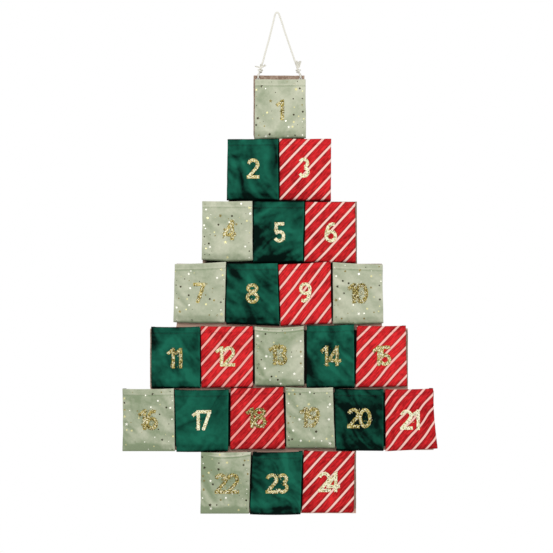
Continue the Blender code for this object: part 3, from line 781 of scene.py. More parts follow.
def eye_points(side, radius):
    """Down the strand, out to the front of the felt, through its hole and straight up behind it."""
    foot, along, _, _ = knot_frame(side)
    hole = foot - along * KNOT_FOOT_LIFT
    points = [knot_top(side), foot + along * radius]
    for lift in EYE_LIFT_SHARES:
        ease = lift * lift * (3 - 2 * lift)
        out = Vector((0, -EYE_RADIUS * (1 - ease), 0))
        points.append(hole + along * EYE_CLOSE_LIFT * lift + out)
    steps = round(180 / EYE_STEP_DEGREES)
    for step in range(steps + 1):
        angle = math.pi * step / steps
        points.append(hole + Vector((0, -EYE_RADIUS * math.cos(angle), -EYE_RADIUS * math.sin(angle))))
    return points + [points[-1] + Vector((0, 0, EYE_CLOSE_LIFT / 2))]


def turn_points(side):
    """The turns round the strand, from behind it to where the tail leaves in front."""
    foot, along, back, across = knot_frame(side)
    points = []
    turn = KNOT_START_DEGREES
    while turn <= KNOT_END_DEGREES:
        angle = math.radians(turn)
        ring = back * math.cos(angle) + across * math.sin(angle)
        points.append(foot + along * KNOT_PITCH * turn / 360 + ring * KNOT_TURN_RADIUS)
        turn += TURN_STEP_DEGREES
    return points


def knot_points(side, radius):
    """The whole knot's middle line, from its strand to the end of its tail."""
    turns = turn_points(side)
    leaving = (turns[-1] - turns[-2]).normalized()
    tail = turns[-1] + (knot_frame(side)[1] + leaving / 2) * TAIL_RISE
    eye = eye_points(side, radius)
    return eye[:2] + smooth_line(eye[2:] + turns + [tail], KNOT_STEP)


def poly_curve(name, lines, tilts=None, radii=None):
    """A curve object with one poly spline for each line of points."""
    curve = bpy.data.curves.new(name, "CURVE")
    curve.dimensions = "3D"
    for number, line in enumerate(lines):
        spline = curve.splines.new("POLY")
        spline.points.add(len(line) - 1)
        for index, (place, point) in enumerate(zip(spline.points, line)):
            place.co = (*point, 1)
            if tilts:
                place.tilt = tilts[number][index]
            if radii:
                place.radius = radii[number][index]
    made = bpy.data.objects.new(name, curve)
    bpy.context.scene.collection.objects.link(made)
    return made


def remove_curve(made):
    """Remove a curve object with its curve."""
    curve = made.data
    bpy.data.objects.remove(made)
    bpy.data.curves.remove(curve)


def curve_to_mesh(guide, name):
    """The mesh of a curve object, which is then removed with its curve."""
    bpy.context.view_layer.update()
    graph = bpy.context.evaluated_depsgraph_get()
    mesh = bpy.data.meshes.new_from_object(guide.evaluated_get(graph))
    mesh.name = name
    remove_curve(guide)
    return mesh


def rope_profile(settings):
    """The outline of the twisted yarns, cut square to the cord."""
    radius = settings.fullness * settings.diameter / 2
    yarn = 0.54 * radius
    centre = radius - yarn
    steps = settings.plies * settings.profile_points
    half = math.pi / settings.plies
    points = []
    for step in range(steps):
        angle = 2 * math.pi * step / steps
        off = (angle + half) % (2 * half) - half
        reach = centre * math.cos(off) + math.sqrt(yarn ** 2 - (centre * math.sin(off)) ** 2)
        points.append((reach * math.cos(angle), reach * math.sin(angle), 0))
    profile = poly_curve("yarn_profile", [points])
    profile.data.dimensions = "2D"
    profile.data.splines[0].use_cyclic_u = True
    return profile


def rope_mesh(line, settings):
    """The whole twisted cord, from the tail of one knot to the tail of the other."""
    travelled = [0.0]
    for a, b in zip(line, line[1:]):
        travelled.append(travelled[-1] + (b - a).length)
    tilts = [2 * math.pi * reach / settings.lay_length for reach in travelled]
    profile = rope_profile(settings)
    guide = poly_curve("whole_cord", [line], tilts=[tilts])
    guide.data.bevel_mode = "OBJECT"
    guide.data.bevel_object = profile
    guide.data.use_fill_caps = True
    mesh = curve_to_mesh(guide, "whole_cord")
    remove_curve(profile)
    return mesh


def rope_piece(whole, side):
    """The hanging stretch of the cord for side 0, or one knot's stretch of it."""
    bm = bmesh.new()
    bm.from_mesh(whole)
    bmesh.ops.remove_doubles(bm, verts=bm.verts, dist=0.001 * MM)
    for end in ((side,) if side else (-1, 1)):
        top, along = knot_top(end), knot_frame(end)[1]
        in_knot = {vert for vert in bm.verts if vert.co.x * end >= 0 and (vert.co - top).dot(along) <= 0}
        doomed = [vert for vert in bm.verts if (vert in in_knot) == (side == 0)]
        bmesh.ops.delete(bm, geom=doomed, context="VERTS")
    bmesh.ops.holes_fill(bm, edges=[edge for edge in bm.edges if edge.is_boundary])
    bmesh.ops.recalc_face_normals(bm, faces=bm.faces)
    return bm


def tuft_lines(root, tuft, settings, rng):
    """The loose fibres of one frayed end, as lines of points and their tapering radii."""
    sideways, upward, spread, base = tuft
    reach = Vector((sideways, 0, upward))
    across = Vector((-upward, 0, sideways)).normalized()
    lines = []
    radii = []
    for _ in range(settings.fibres):
        side = rng.uniform(-1, 1)
        depth = rng.uniform(-1, 1)
        full = rng.uniform(0.7, 1.08)
        bend = Vector([rng.uniform(-1, 1) for _ in range(3)]) * 0.4 * MM
        start = root + across * side * base + Vector((0, depth * 0.5 * MM, 0))
        line = []
        for step in range(7):
            t = step / 6
            fan = across * side * (spread - base) * t ** 1.3 + Vector((0, depth * 0.4 * MM * t, 0))
            wave = bend * math.sin(t * math.pi * 1.3)
            line.append(start + reach * full * t + fan + wave)
        lines.append(line)
        radii.append([1.0 - 0.55 * step / 6 for step in range(7)])
    return lines, radii


class CALENDAR_OT_cord(Operator):
    """Twist the cord, hang it over the nail and tie its two frayed knots"""

    bl_idname = "calendar.cord"
    bl_label = "Cord and knots"

    def execute(self, context):
        settings = context.scene.calendar_cord
        radius = settings.diameter / 2
        left = knot_points(-1, radius)
        right = knot_points(1, radius)
        line = smooth_line([*reversed(left), *CORD_ROUTE, *right], settings.step)
        whole = rope_mesh(line, settings)
        cotton = cotton_material(settings)
        rng = random.Random(24)
        for side, name, node, tufts in (
            (-1, "left_knot_of_cord", "left_cord_knot", LEFT_TUFTS),
            (1, "right_knot_of_cord", "right_cord_knot", RIGHT_TUFTS),
        ):
            bm = rope_piece(whole, side)
            root = line[0] if side < 0 else line[-1]
            for tuft in tufts:
                lines, radii = tuft_lines(root, tuft, settings, rng)
                guide = poly_curve("tuft", lines, radii=radii)
                guide.data.bevel_depth = settings.fibre_thickness / 2
                guide.data.bevel_resolution = 0
                guide.data.use_fill_caps = True
                bm.from_mesh(curve_to_mesh(guide, "tuft"))
            add_piece(name, mesh_of(bm, name), cotton, "cord", [node])
        mesh = mesh_of(rope_piece(whole, 0), "hanging_stretch_of_cord")
        rope = add_piece("hanging_stretch_of_cord", mesh, cotton, "cord", ["hanging_cord"])
        bpy.data.meshes.remove(whole)
        path = smooth_line([knot_top(-1), *CORD_ROUTE, knot_top(1)], settings.step)
        long = sum((b - a).length for a, b in zip(path, path[1:]))
        if len(rope.data.polygons) == 0 or long == 0:
            raise RuntimeError("the cord has no surface")
        return {"FINISHED"}


# Felt

# Rows, counted from 0, whose felt shows beyond its pockets, and whether that is on the right
OPEN_SIDES = ((0, False), (2, True), (4, False))


def row_of(height):
    """The row that a height lies in."""
    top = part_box("felt_backing")[1].z
    return min(int((top - height) / row_depth()), len(ROW_COUNTS) - 1)


def trim_inwards(vert, low, high, settings):
    """How far a vertex on the cut edge moves in, so that the pockets cover the edge where they do in use."""
    centre = sum((face.calc_center_median() for face in vert.link_faces), Vector()) / len(vert.link_faces)
    inwards = centre - vert.co
    close = 0.1 * MM
    shown = (row_of(centre.z), inwards.x < 0) in OPEN_SIDES
    sideways = math.copysign(settings.side_trim, inwards.x) if abs(inwards.x) > close and not shown else 0
    lowered = inwards.z < -close and vert.co.z < high - close
    raised = inwards.z > close and vert.co.z > low + close
    return Vector((sideways, 0, settings.foot_trim * raised - settings.mouth_trim * lowered))


class CALENDAR_OT_felt(Operator):
    """Cut the felt sheet to its stepped outline and punch the cord's holes"""

    bl_idname = "calendar.felt"
    bl_label = "Felt"

    def execute(self, context):
        settings = context.scene.calendar_felt
        low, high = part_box("felt_backing")
        wide, tall, thick = high.x - low.x, high.z - low.z, high.y - low.y
        bm = bmesh.new()
        bare = bm.verts.layers.float.new("open_edge")
        columns, rows = round(wide / settings.step), round(tall / settings.step)
        bmesh.ops.create_grid(bm, x_segments=columns, y_segments=rows, size=0.5)
        middle = (low.x + high.x) / 2
        for vert in bm.verts:
            vert.co = Vector((middle + vert.co.x * wide, 0, low.z + (vert.co.y + 0.5) * tall))
        doomed = []
        for face in bm.faces:
            centre = face.calc_center_median()
            if abs(centre.x - middle) > ROW_COUNTS[row_of(centre.z)] * wide / max(ROW_COUNTS) / 2:
                doomed.append(face)
        bmesh.ops.delete(bm, geom=doomed, context="FACES")
        trims = {vert: trim_inwards(vert, low.z, high.z, settings) for vert in bm.verts if vert.is_boundary}
        # The cut edge and the felt next to it are kept out of the painted shade
        for vert in trims:
            for edge in vert.link_edges:
                edge.other_vert(vert)[bare] = 1
                vert[bare] = 1
        for vert in bm.verts:
            stray = noise.noise_vector(Vector((vert.co.x * 45, 0, vert.co.z * 45)))
            if vert in trims:
                vert.co += Vector((stray.x, 0, stray.z)) * settings.wander + trims[vert]
            vert.co.y += stray.y * settings.wander / 4
        bmesh.ops.recalc_face_normals(bm, faces=bm.faces)
        felt = bpy.data.objects.new("felt_blank", mesh_of(bm, "felt_blank"))
        context.scene.collection.objects.link(felt)
        solid = felt.modifiers.new("thickness", "SOLIDIFY")
        solid.thickness = thick
        solid.offset = 0
        punches = []
        for side in (-1, 1):
            cutter = bmesh.new()
            place = Vector((MIDDLE_X + side * HOLE_SPACING / 2, 0, high.z - HOLE_DROP))
            bmesh.ops.create_cone(
                cutter,
                cap_ends=True,
                segments=28,
                radius1=HOLE_RADIUS,
                radius2=HOLE_RADIUS,
                depth=3 * thick,
                matrix=Matrix.Translation(place) @ Matrix.Rotation(math.pi / 2, 4, "X"),
            )
            punch = bpy.data.objects.new("punch", mesh_of(cutter, "punch", smooth=False))
            context.scene.collection.objects.link(punch)
            cut = felt.modifiers.new("hole", "BOOLEAN")
            cut.operation = "DIFFERENCE"
            cut.solver = "MANIFOLD"
            cut.object = punch
            punches.append(punch)
        context.view_layer.update()
        graph = context.evaluated_depsgraph_get()
        mesh = bpy.data.meshes.new_from_object(felt.evaluated_get(graph))
        mesh.name = "felt_sheet"
        for gone in (felt, *punches):
            bpy.data.objects.remove(gone)
        mesh.materials.clear()
        mesh.shade_smooth()
        mesh.set_sharp_from_angle(angle=math.radians(40))
        sheet = add_piece("felt_sheet", mesh, felt_material(settings), "calendar", ["felt_backing"])
        soft = sheet.modifiers.new("soft cut edge", "BEVEL")
        soft.width = 0.5 * MM
        soft.segments = 2
        soft.limit_method = "ANGLE"
        return {"FINISHED"}


# Pockets

def numbered_pockets():
    """Every pocket's number, row and column, in order."""
    number = 0
    for row, many in enumerate(ROW_COUNTS):
        for column in range(many):
            number += 1
            yield number, row, column


def fold_places(number):
    """Where a pocket's folds lie, from its solid: left and right at foot and mouth, heights and depths."""
    node = f"pocket_{number:02d}"
    low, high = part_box(node)
    points = [vert.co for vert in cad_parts[node].data.vertices]
    mouth = [point.x for point in points if point.z > high.z - 4 * MM]
    foot = [point.x for point in points if point.z < low.z + 0.5 * MM]
    return {
        "mouth": (min(mouth), max(mouth)),
        "foot": (min(foot), max(foot)),
        "low": low.z,
        "high": high.z,
        "seat": high.y,
        "depth": high.y - low.y,
    }


def plain_form(places, settings, u, v):
    """A point of the pocket's front before it settles: u from left to right and v from foot to mouth."""
    across = 2 * u - 1
    height = places["high"] - places["low"]
    left = places["foot"][0] + (places["mouth"][0] - places["foot"][0]) * (1 - (1 - v) ** 2)
    right = places["foot"][1] + (places["mouth"][1] - places["foot"][1]) * (1 - (1 - v) ** 2)
    beyond = max(abs(across) - 0.5, 0) / 0.5
    depth = places["depth"] * (settings.body_share + settings.crown_share * (1 - beyond ** 2))
    level = v * height
    if level < settings.foot_rise:
        foot = places["depth"] * settings.foot_share
        depth = foot + (depth - foot) * math.sqrt(level / settings.foot_rise)
    return Vector((left + (right - left) * u, places["seat"] - depth, places["low"] + level))


def sheet_grid(bm, columns, rows):
    """Add a flat grid to a bmesh and return its vertices by column and row."""
    bmesh.ops.create_grid(bm, x_segments=columns, y_segments=rows, size=0.5)
    places = {}
    for vert in bm.verts:
        places[round((vert.co.x + 0.5) * columns), round((vert.co.y + 0.5) * rows)] = vert
    return places


CLOTH_MANNERS = {
    "sage": {"slack": 0.0045, "rough": 1.1 * MM, "bending": 2.0, "gravity": 0.08},
    "green": {"slack": 0.0055, "rough": 1.3 * MM, "bending": 3.0, "gravity": 0.06},
    "red": {"slack": 0.0020, "rough": 0.7 * MM, "bending": 3.0, "gravity": 0.06},
}


def settle(number, places, settings):
    """Let a pocket's front settle as cloth sewn at its sides and foot. Returns points by row and column."""
    manner = CLOTH_MANNERS[cloth_of(number)]
    columns = round(CELL_WIDTH / settings.coarse_step)
    rows = round((places["high"] - places["low"]) / settings.coarse_step)
    bm = bmesh.new()
    grid = sheet_grid(bm, columns, rows)
    plain = np.zeros((rows + 1, columns + 1, 3))
    for (column, row), vert in grid.items():
        u, v = column / columns, row / rows
        point = plain_form(places, settings, u, v)
        plain[row, column] = point
        free = min(min(u, 1 - u) * 6, v * 6, 1)
        rough = noise.fractal(Vector((u * 3 + number * 7.1, v * 3.4, number * 3.3)), 1.0, 2.0, 3)
        vert.co = (point - Vector((0, manner["rough"] * rough * free, 0))) * settings.enlargement
    bm.verts.index_update()
    order = {key: vert.index for key, vert in grid.items()}
    sewn = [index for (column, row), index in order.items() if column in (0, columns) or row == 0]
    cloth = bpy.data.objects.new("settling", mesh_of(bm, "settling"))
    bpy.context.scene.collection.objects.link(cloth)
    cloth.vertex_groups.new(name="sewn").add(sewn, 1, "REPLACE")
    weave = cloth.modifiers.new("cloth", "CLOTH")
    weave.settings.quality = 5
    weave.settings.mass = 0.3
    weave.settings.tension_stiffness = 15
    weave.settings.compression_stiffness = 15
    weave.settings.shear_stiffness = 5
    weave.settings.bending_stiffness = manner["bending"]
    weave.settings.vertex_group_mass = "sewn"
    weave.settings.shrink_min = -manner["slack"]
    weave.settings.effector_weights.gravity = manner["gravity"]
    weave.collision_settings.use_collision = False
    weave.point_cache.frame_start = 1
    weave.point_cache.frame_end = settings.frames
    for step in range(1, settings.frames + 1):
        bpy.context.scene.frame_set(step)
    graph = bpy.context.evaluated_depsgraph_get()
    settled = bpy.data.meshes.new_from_object(cloth.evaluated_get(graph))
    flat = np.zeros(len(settled.vertices) * 3)
    settled.vertices.foreach_get("co", flat)
    flat = flat.reshape(-1, 3) / settings.enlargement
    points = np.zeros_like(plain)
    for (column, row), index in order.items():
        points[row, column] = flat[index]
    bpy.data.objects.remove(cloth)
    bpy.context.scene.frame_set(1)
    return plain + np.clip(points - plain, -settings.largest_fold, settings.largest_fold)


def spline_rows(values, shares):
    """Catmull-Rom values at shares of the way along an array's first axis."""
    last = len(values) - 1
    at = np.clip(shares, 0, 1) * last
    index = np.minimum(at.astype(int), last - 1)
    t = (at - index).reshape(-1, 1, 1)
    here, after = values[index], values[index + 1]
    before = np.where((index > 0).reshape(-1, 1, 1), values[np.maximum(index - 1, 0)], 2 * here - after)
    beyond = np.where(
        (index + 2 <= last).reshape(-1, 1, 1), values[np.minimum(index + 2, last)], 2 * after - here
    )
    bend = 2 * before - 5 * here + 4 * after - beyond + t * (3 * (here - after) + beyond - before)
    return here + t / 2 * (after - before + t * bend)


def calm_under_numeral(points, number):
    """Smooth the settled cloth where the stiff numeral is ironed on."""
    low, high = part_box(f"number_{number:02d}")
    margin = 5 * MM
    x, z = points[:, :, 0], points[:, :, 2]
    inside = (x > low.x - margin) & (x < high.x + margin) & (z > low.z - margin) & (z < high.z + margin)
    inside[:, [0, -1]] = False
    inside[[0, -1], :] = False
    for _ in range(8):
        y = points[:, :, 1]
        mean = y.copy()
        mean[1:-1, 1:-1] = (y[:-2, 1:-1] + y[2:, 1:-1] + y[1:-1, :-2] + y[1:-1, 2:]) / 4
        points[:, :, 1] = np.where(inside, mean, y)
    return points


def hem_line(settings, number, u):
    """How far below the mouth the hem's stitching runs."""
    return settings.hem_width - HEM_RAISES.get(number, 0) - HEM_CURVES.get(number, 0) * (2 * u - 1) ** 2


def hem_relief(settings, line, below, x, number):
    """How far the doubled hem and its drawn-in stitching stand out, by the distance below the stitching."""
    doubled = settings.hem_step / (1 + math.exp(min(line / (0.5 * MM), 60)))
    drawn = settings.groove * math.exp(-(line / (1.1 * MM)) ** 2)
    gather = math.sin(2 * math.pi * x / settings.pucker_pitch + 3 * noise.noise(Vector((x * 40, number, 0))))
    puckered = settings.pucker * gather * math.exp(-abs(line) / (4 * MM))
    roll = max(1 - below / (1.2 * MM), 0)
    return doubled - drawn + puckered - 0.9 * MM * (1 - math.sqrt(max(1 - roll ** 2, 0)))


def pile_lay_and_shade(number, u, v, slope):
    """How light the pile lies: the pocket's own tone, painted shading by slope, broad brushed patches,
    creases and streaks.
    """
    broad, slope_shading, creased, streaked = PILE_MANNERS[cloth_of(number)]
    shown = PILE_SHARES.get(number, 1)
    warp = noise.noise_vector(Vector((1.1 * u + 0.8 * v, 1.5 * v - u, number * 1.2)))
    lean = math.radians(48 + 30 * noise.noise(Vector((number * 3.1, 0.5, 0))))
    if number % 4 == 1:
        lean = -lean
    along = u * math.cos(lean) - 1.2 * v * math.sin(lean)
    across = u * math.sin(lean) + 1.2 * v * math.cos(lean)
    patches = noise.fractal(Vector((1.5 * along, 3.2 * across, number * 2.2)) + warp * 0.8, 1.0, 2.0, 3)
    place = Vector((1.4 * along, 5.0 * across, number * 4.3)) + warp * 0.8
    wave = noise.noise(place)
    crease = max(1 - abs(wave) / 0.34, 0) ** 2 * max(noise.noise(place * 0.6 + Vector((7, 0, 0))) + 0.2, 0)
    streak = max(noise.noise(place * 1.7 + Vector((0, 9, 0))), 0)
    brushed = broad * patches + slope_shading * slope - creased * crease + streaked * streak
    return 0.5 + CLOTH_TONES[number] + shown * brushed


def rim_painted_light(number, line, below, u, v, height):
    """Painted highlights and shade along the hem's stitching, mouth, sides and foot: a lit ridge and a
    shaded groove at the stitching, and the mouth, sides and foot lighter or darker by cloth.
    """
    kind = cloth_of(number)
    ridge = math.exp(-((line + 2.2 * MM) / (1.4 * MM)) ** 2)
    valley = math.exp(-((line - 1.0 * MM) / (1.0 * MM)) ** 2)
    lip = max(1 - below / (2.5 * MM), 0)
    side = max(1 - min(u, 1 - u) * CELL_WIDTH / (3.5 * MM), 0)
    foot = max(1 - v * height / (6 * MM), 0)
    bold = 2.6 if number in HEM_CURVES else 1
    if kind == "sage":
        return bold * (0.26 * ridge - 0.30 * valley) + 0.25 * lip + 0.18 * side
    if kind == "green":
        return 0.06 * ridge - 0.12 * valley - 0.35 * lip + 0.30 * side * (u > 0.5) - 0.25 * foot
    return 0.05 * ridge - 0.10 * valley - 0.30 * lip - 0.25 * side


def corner_shift(number, u, v):
    """How far a point of a pocket's front moves, rightwards and up, because the pocket hangs off square."""
    shares = ((1 - u) * (1 - v), u * (1 - v), (1 - u) * v, u * v)
    across = sum(shift[0] * share for shift, share in zip(OFF_SQUARE[number], shares)) * MM
    upward = sum(shift[1] * share for shift, share in zip(OFF_SQUARE[number], shares)) * MM
    bow = noise.noise(Vector((v * 1.8, number * 2.9, round(u) * 5.1))) * LOOSE_SIDE * 4 * v * (1 - v)
    middle = 1 - (2 * u - 1) ** 2
    sag = FOOT_SAGS.get(number, 0) * middle * (1 - v) ** 6 + MOUTH_SAGS.get(number, 0) * middle * v ** 6
    return across + bow * (2 * u - 1), upward - sag


def row_shares(settings, height):
    """Shares of a pocket's height for the fine rows: even, but closer at the stitching and the mouth."""
    hem = 1 - settings.hem_width / height
    edge = 1 - 1.4 * MM / height
    near = 1.8 * MM / height
    spans = ((0, hem - near, 1.0), (hem - near, hem + near, 0.45), (hem + near, edge, 1.0), (edge, 1, 0.3))
    shares = [0.0]
    for low, high, fineness in spans:
        steps = max(1, round((high - low) * height / (settings.fine_step * fineness)))
        shares += [low + (high - low) * (step + 1) / steps for step in range(steps)]
    return shares


def fine_cloth(number, places, settings, shares):
    """The settled cloth as fine points by row and column, and how it slopes up and across."""
    settled = calm_under_numeral(settle(number, places, settings), number)
    columns = round(CELL_WIDTH / settings.fine_step)
    tall = spline_rows(settled, np.array(shares)).transpose(1, 0, 2)
    fine = spline_rows(tall, np.linspace(0, 1, columns + 1)).transpose(1, 0, 2)
    x, y, z = (fine[:, :, axis] for axis in range(3))
    up = np.gradient(y, axis=0) / np.maximum(np.gradient(z, axis=0), 0.1 * MM)
    aside = np.gradient(y, axis=1) / np.maximum(np.gradient(x, axis=1), 0.1 * MM)
    return fine, up * 0.8 + aside * 0.6


def print_place(number, places, cloth):
    """A function from a point of the front to its place in the stripes' pattern, and the pattern's turn."""
    start, rise = STRIPES.get(number, (0, cloth.stripe_degrees))
    steep = math.radians(cloth.stripe_degrees)
    turn = Matrix.Rotation(steep - math.radians(rise), 2)
    far = Vector((number * 10 * cloth.stripe_pitch / math.sin(steep), 0))
    middle = sum(places["mouth"]) / 2
    square_to_stripes = Vector((math.sin(steep), -math.cos(steep)))
    wander = STRIPE_WANDER.get(number, STRAIGHT_WANDER)

    def place_of(x, below, u, v):
        flat = turn @ Vector((x - middle - start, -below)) + far
        return flat + square_to_stripes * wander * noise.noise(Vector((u * 2.2, v * 2.6, number * 6.1))) * 2

    return place_of, turn


def pocket_mesh(number, settings, cloth):
    """The whole pocket as one cut of cloth: front, sides and foot run back to the seam on the felt."""
    places = fold_places(number)
    height = places["high"] - places["low"]
    shares = row_shares(settings, height)
    fine, slopes = fine_cloth(number, places, settings, shares)
    rows, columns = len(shares) - 1, fine.shape[1] - 1
    print_at, turn = print_place(number, places, cloth)

    bm = bmesh.new()
    lay_and_shade, faint, gap_shade = (bm.verts.layers.float.new(name) for name in ("pile_lay_and_shade", "faintness", "gap_shade"))
    wall = bm.verts.layers.deform.verify()
    uv = bm.loops.layers.uv.new("cloth")
    flat = {}
    out = {}
    for (column, row), vert in sheet_grid(bm, columns, rows).items():
        u, v = column / columns, shares[row]
        point = Vector(fine[row, column])
        below = (1 - v) * height
        sag = settings.sag * (1 - (2 * u - 1) ** 2) * max(1 - below / SAG_REACH, 0)
        shift, lift = corner_shift(number, u, v)
        edge = noise.noise(Vector((point.z * 60, number * 2.3 + 9 * round(u), 0))) * EDGE_WANDER
        point.x += edge * max(1 - 8 * min(u, 1 - u), 0)
        point.x += shift
        point.z += lift - sag
        line = below - hem_line(settings, number, u)
        point.y -= hem_relief(settings, line, below, point.x, number)
        vert.co = point
        slope = float(slopes[row, column])
        vert[lay_and_shade] = pile_lay_and_shade(number, u, v, slope) + rim_painted_light(number, line, below, u, v, height)
        vert[wall][0] = 1.0 if line < 0 else settings.body_wall_share
        flat[vert] = print_at(point.x, below, u, v)
        if column in (0, columns) or row == 0:
            out[vert] = Vector(((column == columns) - (column == 0), 0, -(row == 0)))

    # Painted shade: a side or foot running back gets a darker pile lie, and its colour is painted towards
    # nearly black as it runs in between the pockets
    def run_back(vert, fold, darker, shade_share, reach):
        vert[lay_and_shade] = fold[lay_and_shade] - darker
        vert[gap_shade] = shade_share
        vert[wall][0] = settings.body_wall_share
        flat[vert] = flat[fold] + turn @ Vector((out[fold].x, out[fold].z)) * reach

    edge = [found for found in bm.edges if found.is_boundary and all(vert in out for vert in found.verts)]
    ring = {vert: vert for vert in out}
    for step in range(1, SIDE_STEPS + 1):
        done = step / SIDE_STEPS
        ring, edge = extrude_ring(bm, ring, edge)
        for vert, fold in ring.items():
            back = (places["seat"] - fold.co.y) * done
            swell = SIDE_SWELL * math.sin(math.pi * done) - settings.lean * done
            vert.co = fold.co + Vector((0, back, 0)) + out[fold] * swell
            above_foot = fold.co.z > places["low"] + 8 * MM
            run_back(vert, fold, 0.25 * done, min(1.6 * done, 1) if above_foot else 0.6 * done, back)
    for done in (0.5, 1.0):
        ring, edge = extrude_ring(bm, ring, edge)
        for vert, fold in ring.items():
            vert.co = fold.co - out[fold] * (settings.lean + settings.allowance * done)
            vert.co.y = places["seat"]
            run_back(vert, fold, 0.25, 1, places["seat"] - fold.co.y + settings.allowance * done)
    folds = [vert for vert in bm.verts if vert in out]
    near = {vert for fold in folds for edge in fold.link_edges for vert in edge.verts}
    for _ in range(2):
        bmesh.ops.smooth_vert(
            bm, verts=list(near), factor=0.5, use_axis_x=True, use_axis_y=True, use_axis_z=True
        )
    for vert in bm.verts:
        vert[faint] = STRIPE_FAINTNESS.get(number, 0)
    for face in bm.faces:
        for loop in face.loops:
            loop[uv].uv = flat[loop.vert]
    bmesh.ops.recalc_face_normals(bm, faces=bm.faces)
    face_front(bm, places["seat"] - settings.hem_step)
    return mesh_of(bm, f"pocket_{number:02d}_cloth")


def extrude_ring(bm, ring, edges):
    """Extrude the open edge once. Returns the new vertices with the fold of each, and the new edge."""
    grown = bmesh.ops.extrude_edge_only(bm, edges=edges)["geom"]
    fresh = verts_of(grown)
    known = set(fresh)
    made = {}
    for vert in fresh:
        others = (edge.other_vert(vert) for edge in vert.link_edges)
        made[vert] = ring[next(other for other in others if other not in known)]
    rim = [item for item in grown if isinstance(item, bmesh.types.BMEdge)]
    return made, [item for item in rim if set(item.verts) <= known]


class CALENDAR_OT_pockets(Operator):
    """Settle, sew and hem the twenty-four cloth pockets"""

    bl_idname = "calendar.pockets"
    bl_label = "Pockets"

    def execute(self, context):
        settings = context.scene.calendar_pockets
        cloth = context.scene.calendar_cloth
        materials = (sage_material(cloth), green_material(cloth), red_material(cloth))
        for number, _, _ in numbered_pockets():
            kind = (number - 1) % len(CLOTHS)
            mesh = pocket_mesh(number, settings, cloth)
            node = f"pocket_{number:02d}"
            pocket = add_piece(f"{node}_cloth", mesh, materials[kind], "calendar", [node])
            pocket.vertex_groups.new(name="cloth wall")
            wall = pocket.modifiers.new("cloth wall", "SOLIDIFY")
            wall.thickness = settings.wall
            wall.offset = -1
            wall.vertex_group = "cloth wall"
        return {"FINISHED"}


# Numerals

def surface_of(context, name):
    """A piece's shown surface, to drop other pieces on."""
    return BVHTree.FromObject(bpy.data.objects[name], context.evaluated_depsgraph_get())


def drop_on(surface, x, z):
    """The point of a surface in front of x and z, and its normal."""
    place, normal, _, _ = surface.ray_cast(Vector((x, -1, z)), Vector((0, 1, 0)))
    return place, normal


def numeral_mesh(context, number, settings):
    """A numeral cut from glitter film and ironed on its pocket."""
    node = f"number_{number:02d}"
    low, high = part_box(node)
    cloth = surface_of(context, f"pocket_{number:02d}_cloth")
    bm = bmesh.new()
    bm.from_mesh(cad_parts[node].data)
    bmesh.ops.remove_doubles(bm, verts=bm.verts, dist=0.01 * MM)
    doomed = [face for face in bm.faces if face.calc_center_median().y > low.y + 0.05 * MM]
    bmesh.ops.delete(bm, geom=doomed, context="FACES")
    bmesh.ops.dissolve_limit(
        bm, angle_limit=math.radians(1), verts=bm.verts, edges=bm.edges, use_dissolve_boundaries=False
    )
    for start, stop, axis in ((low.x, high.x, Vector((1, 0, 0))), (low.z, high.z, Vector((0, 0, 1)))):
        steps = max(2, round((stop - start) / settings.step))
        for step in range(1, steps):
            place = axis * (start + (stop - start) * step / steps)
            found = bm.verts[:] + bm.edges[:] + bm.faces[:]
            bmesh.ops.bisect_plane(bm, geom=found, plane_co=place, plane_no=axis)
    bmesh.ops.triangulate(bm, faces=[face for face in bm.faces if len(face.verts) > 4])
    for vert in bm.verts:
        place, _ = drop_on(cloth, vert.co.x, vert.co.z)
        if place is None:
            raise RuntimeError(f"numeral {number} reaches past its pocket")
        vert.co.y = place.y - settings.lift
    bmesh.ops.recalc_face_normals(bm, faces=bm.faces)
    face_front(bm)
    front = verts_of(bmesh.ops.extrude_face_region(bm, geom=bm.faces[:])["geom"])
    bmesh.ops.translate(bm, vec=(0, -settings.film, 0), verts=front)
    bmesh.ops.recalc_face_normals(bm, faces=bm.faces)
    film = BVHTree.FromBMesh(bm)
    tone = bm.verts.layers.float.new("glitter_tone")
    pale = GLITTER_TONES[number]
    for vert in bm.verts:
        vert[tone] = pale - 0.1
    add_flakes(bm, (film, cloth), number, settings, low, high)
    return mesh_of(bm, f"{node}_glitter", smooth=False)


def hits_around(film, x, z, reach):
    """Whether the film lies behind each of four places right, left, above and below."""
    steps = ((reach, 0), (-reach, 0), (0, reach), (0, -reach))
    return [drop_on(film, x + dx, z + dz)[0] is not None for dx, dz in steps]


def beside(film, x, z, side):
    """Whether a stroke lies within 9 mm to one side."""
    return any(drop_on(film, x + side * step * 1.5 * MM, z)[0] is not None for step in range(1, 7))


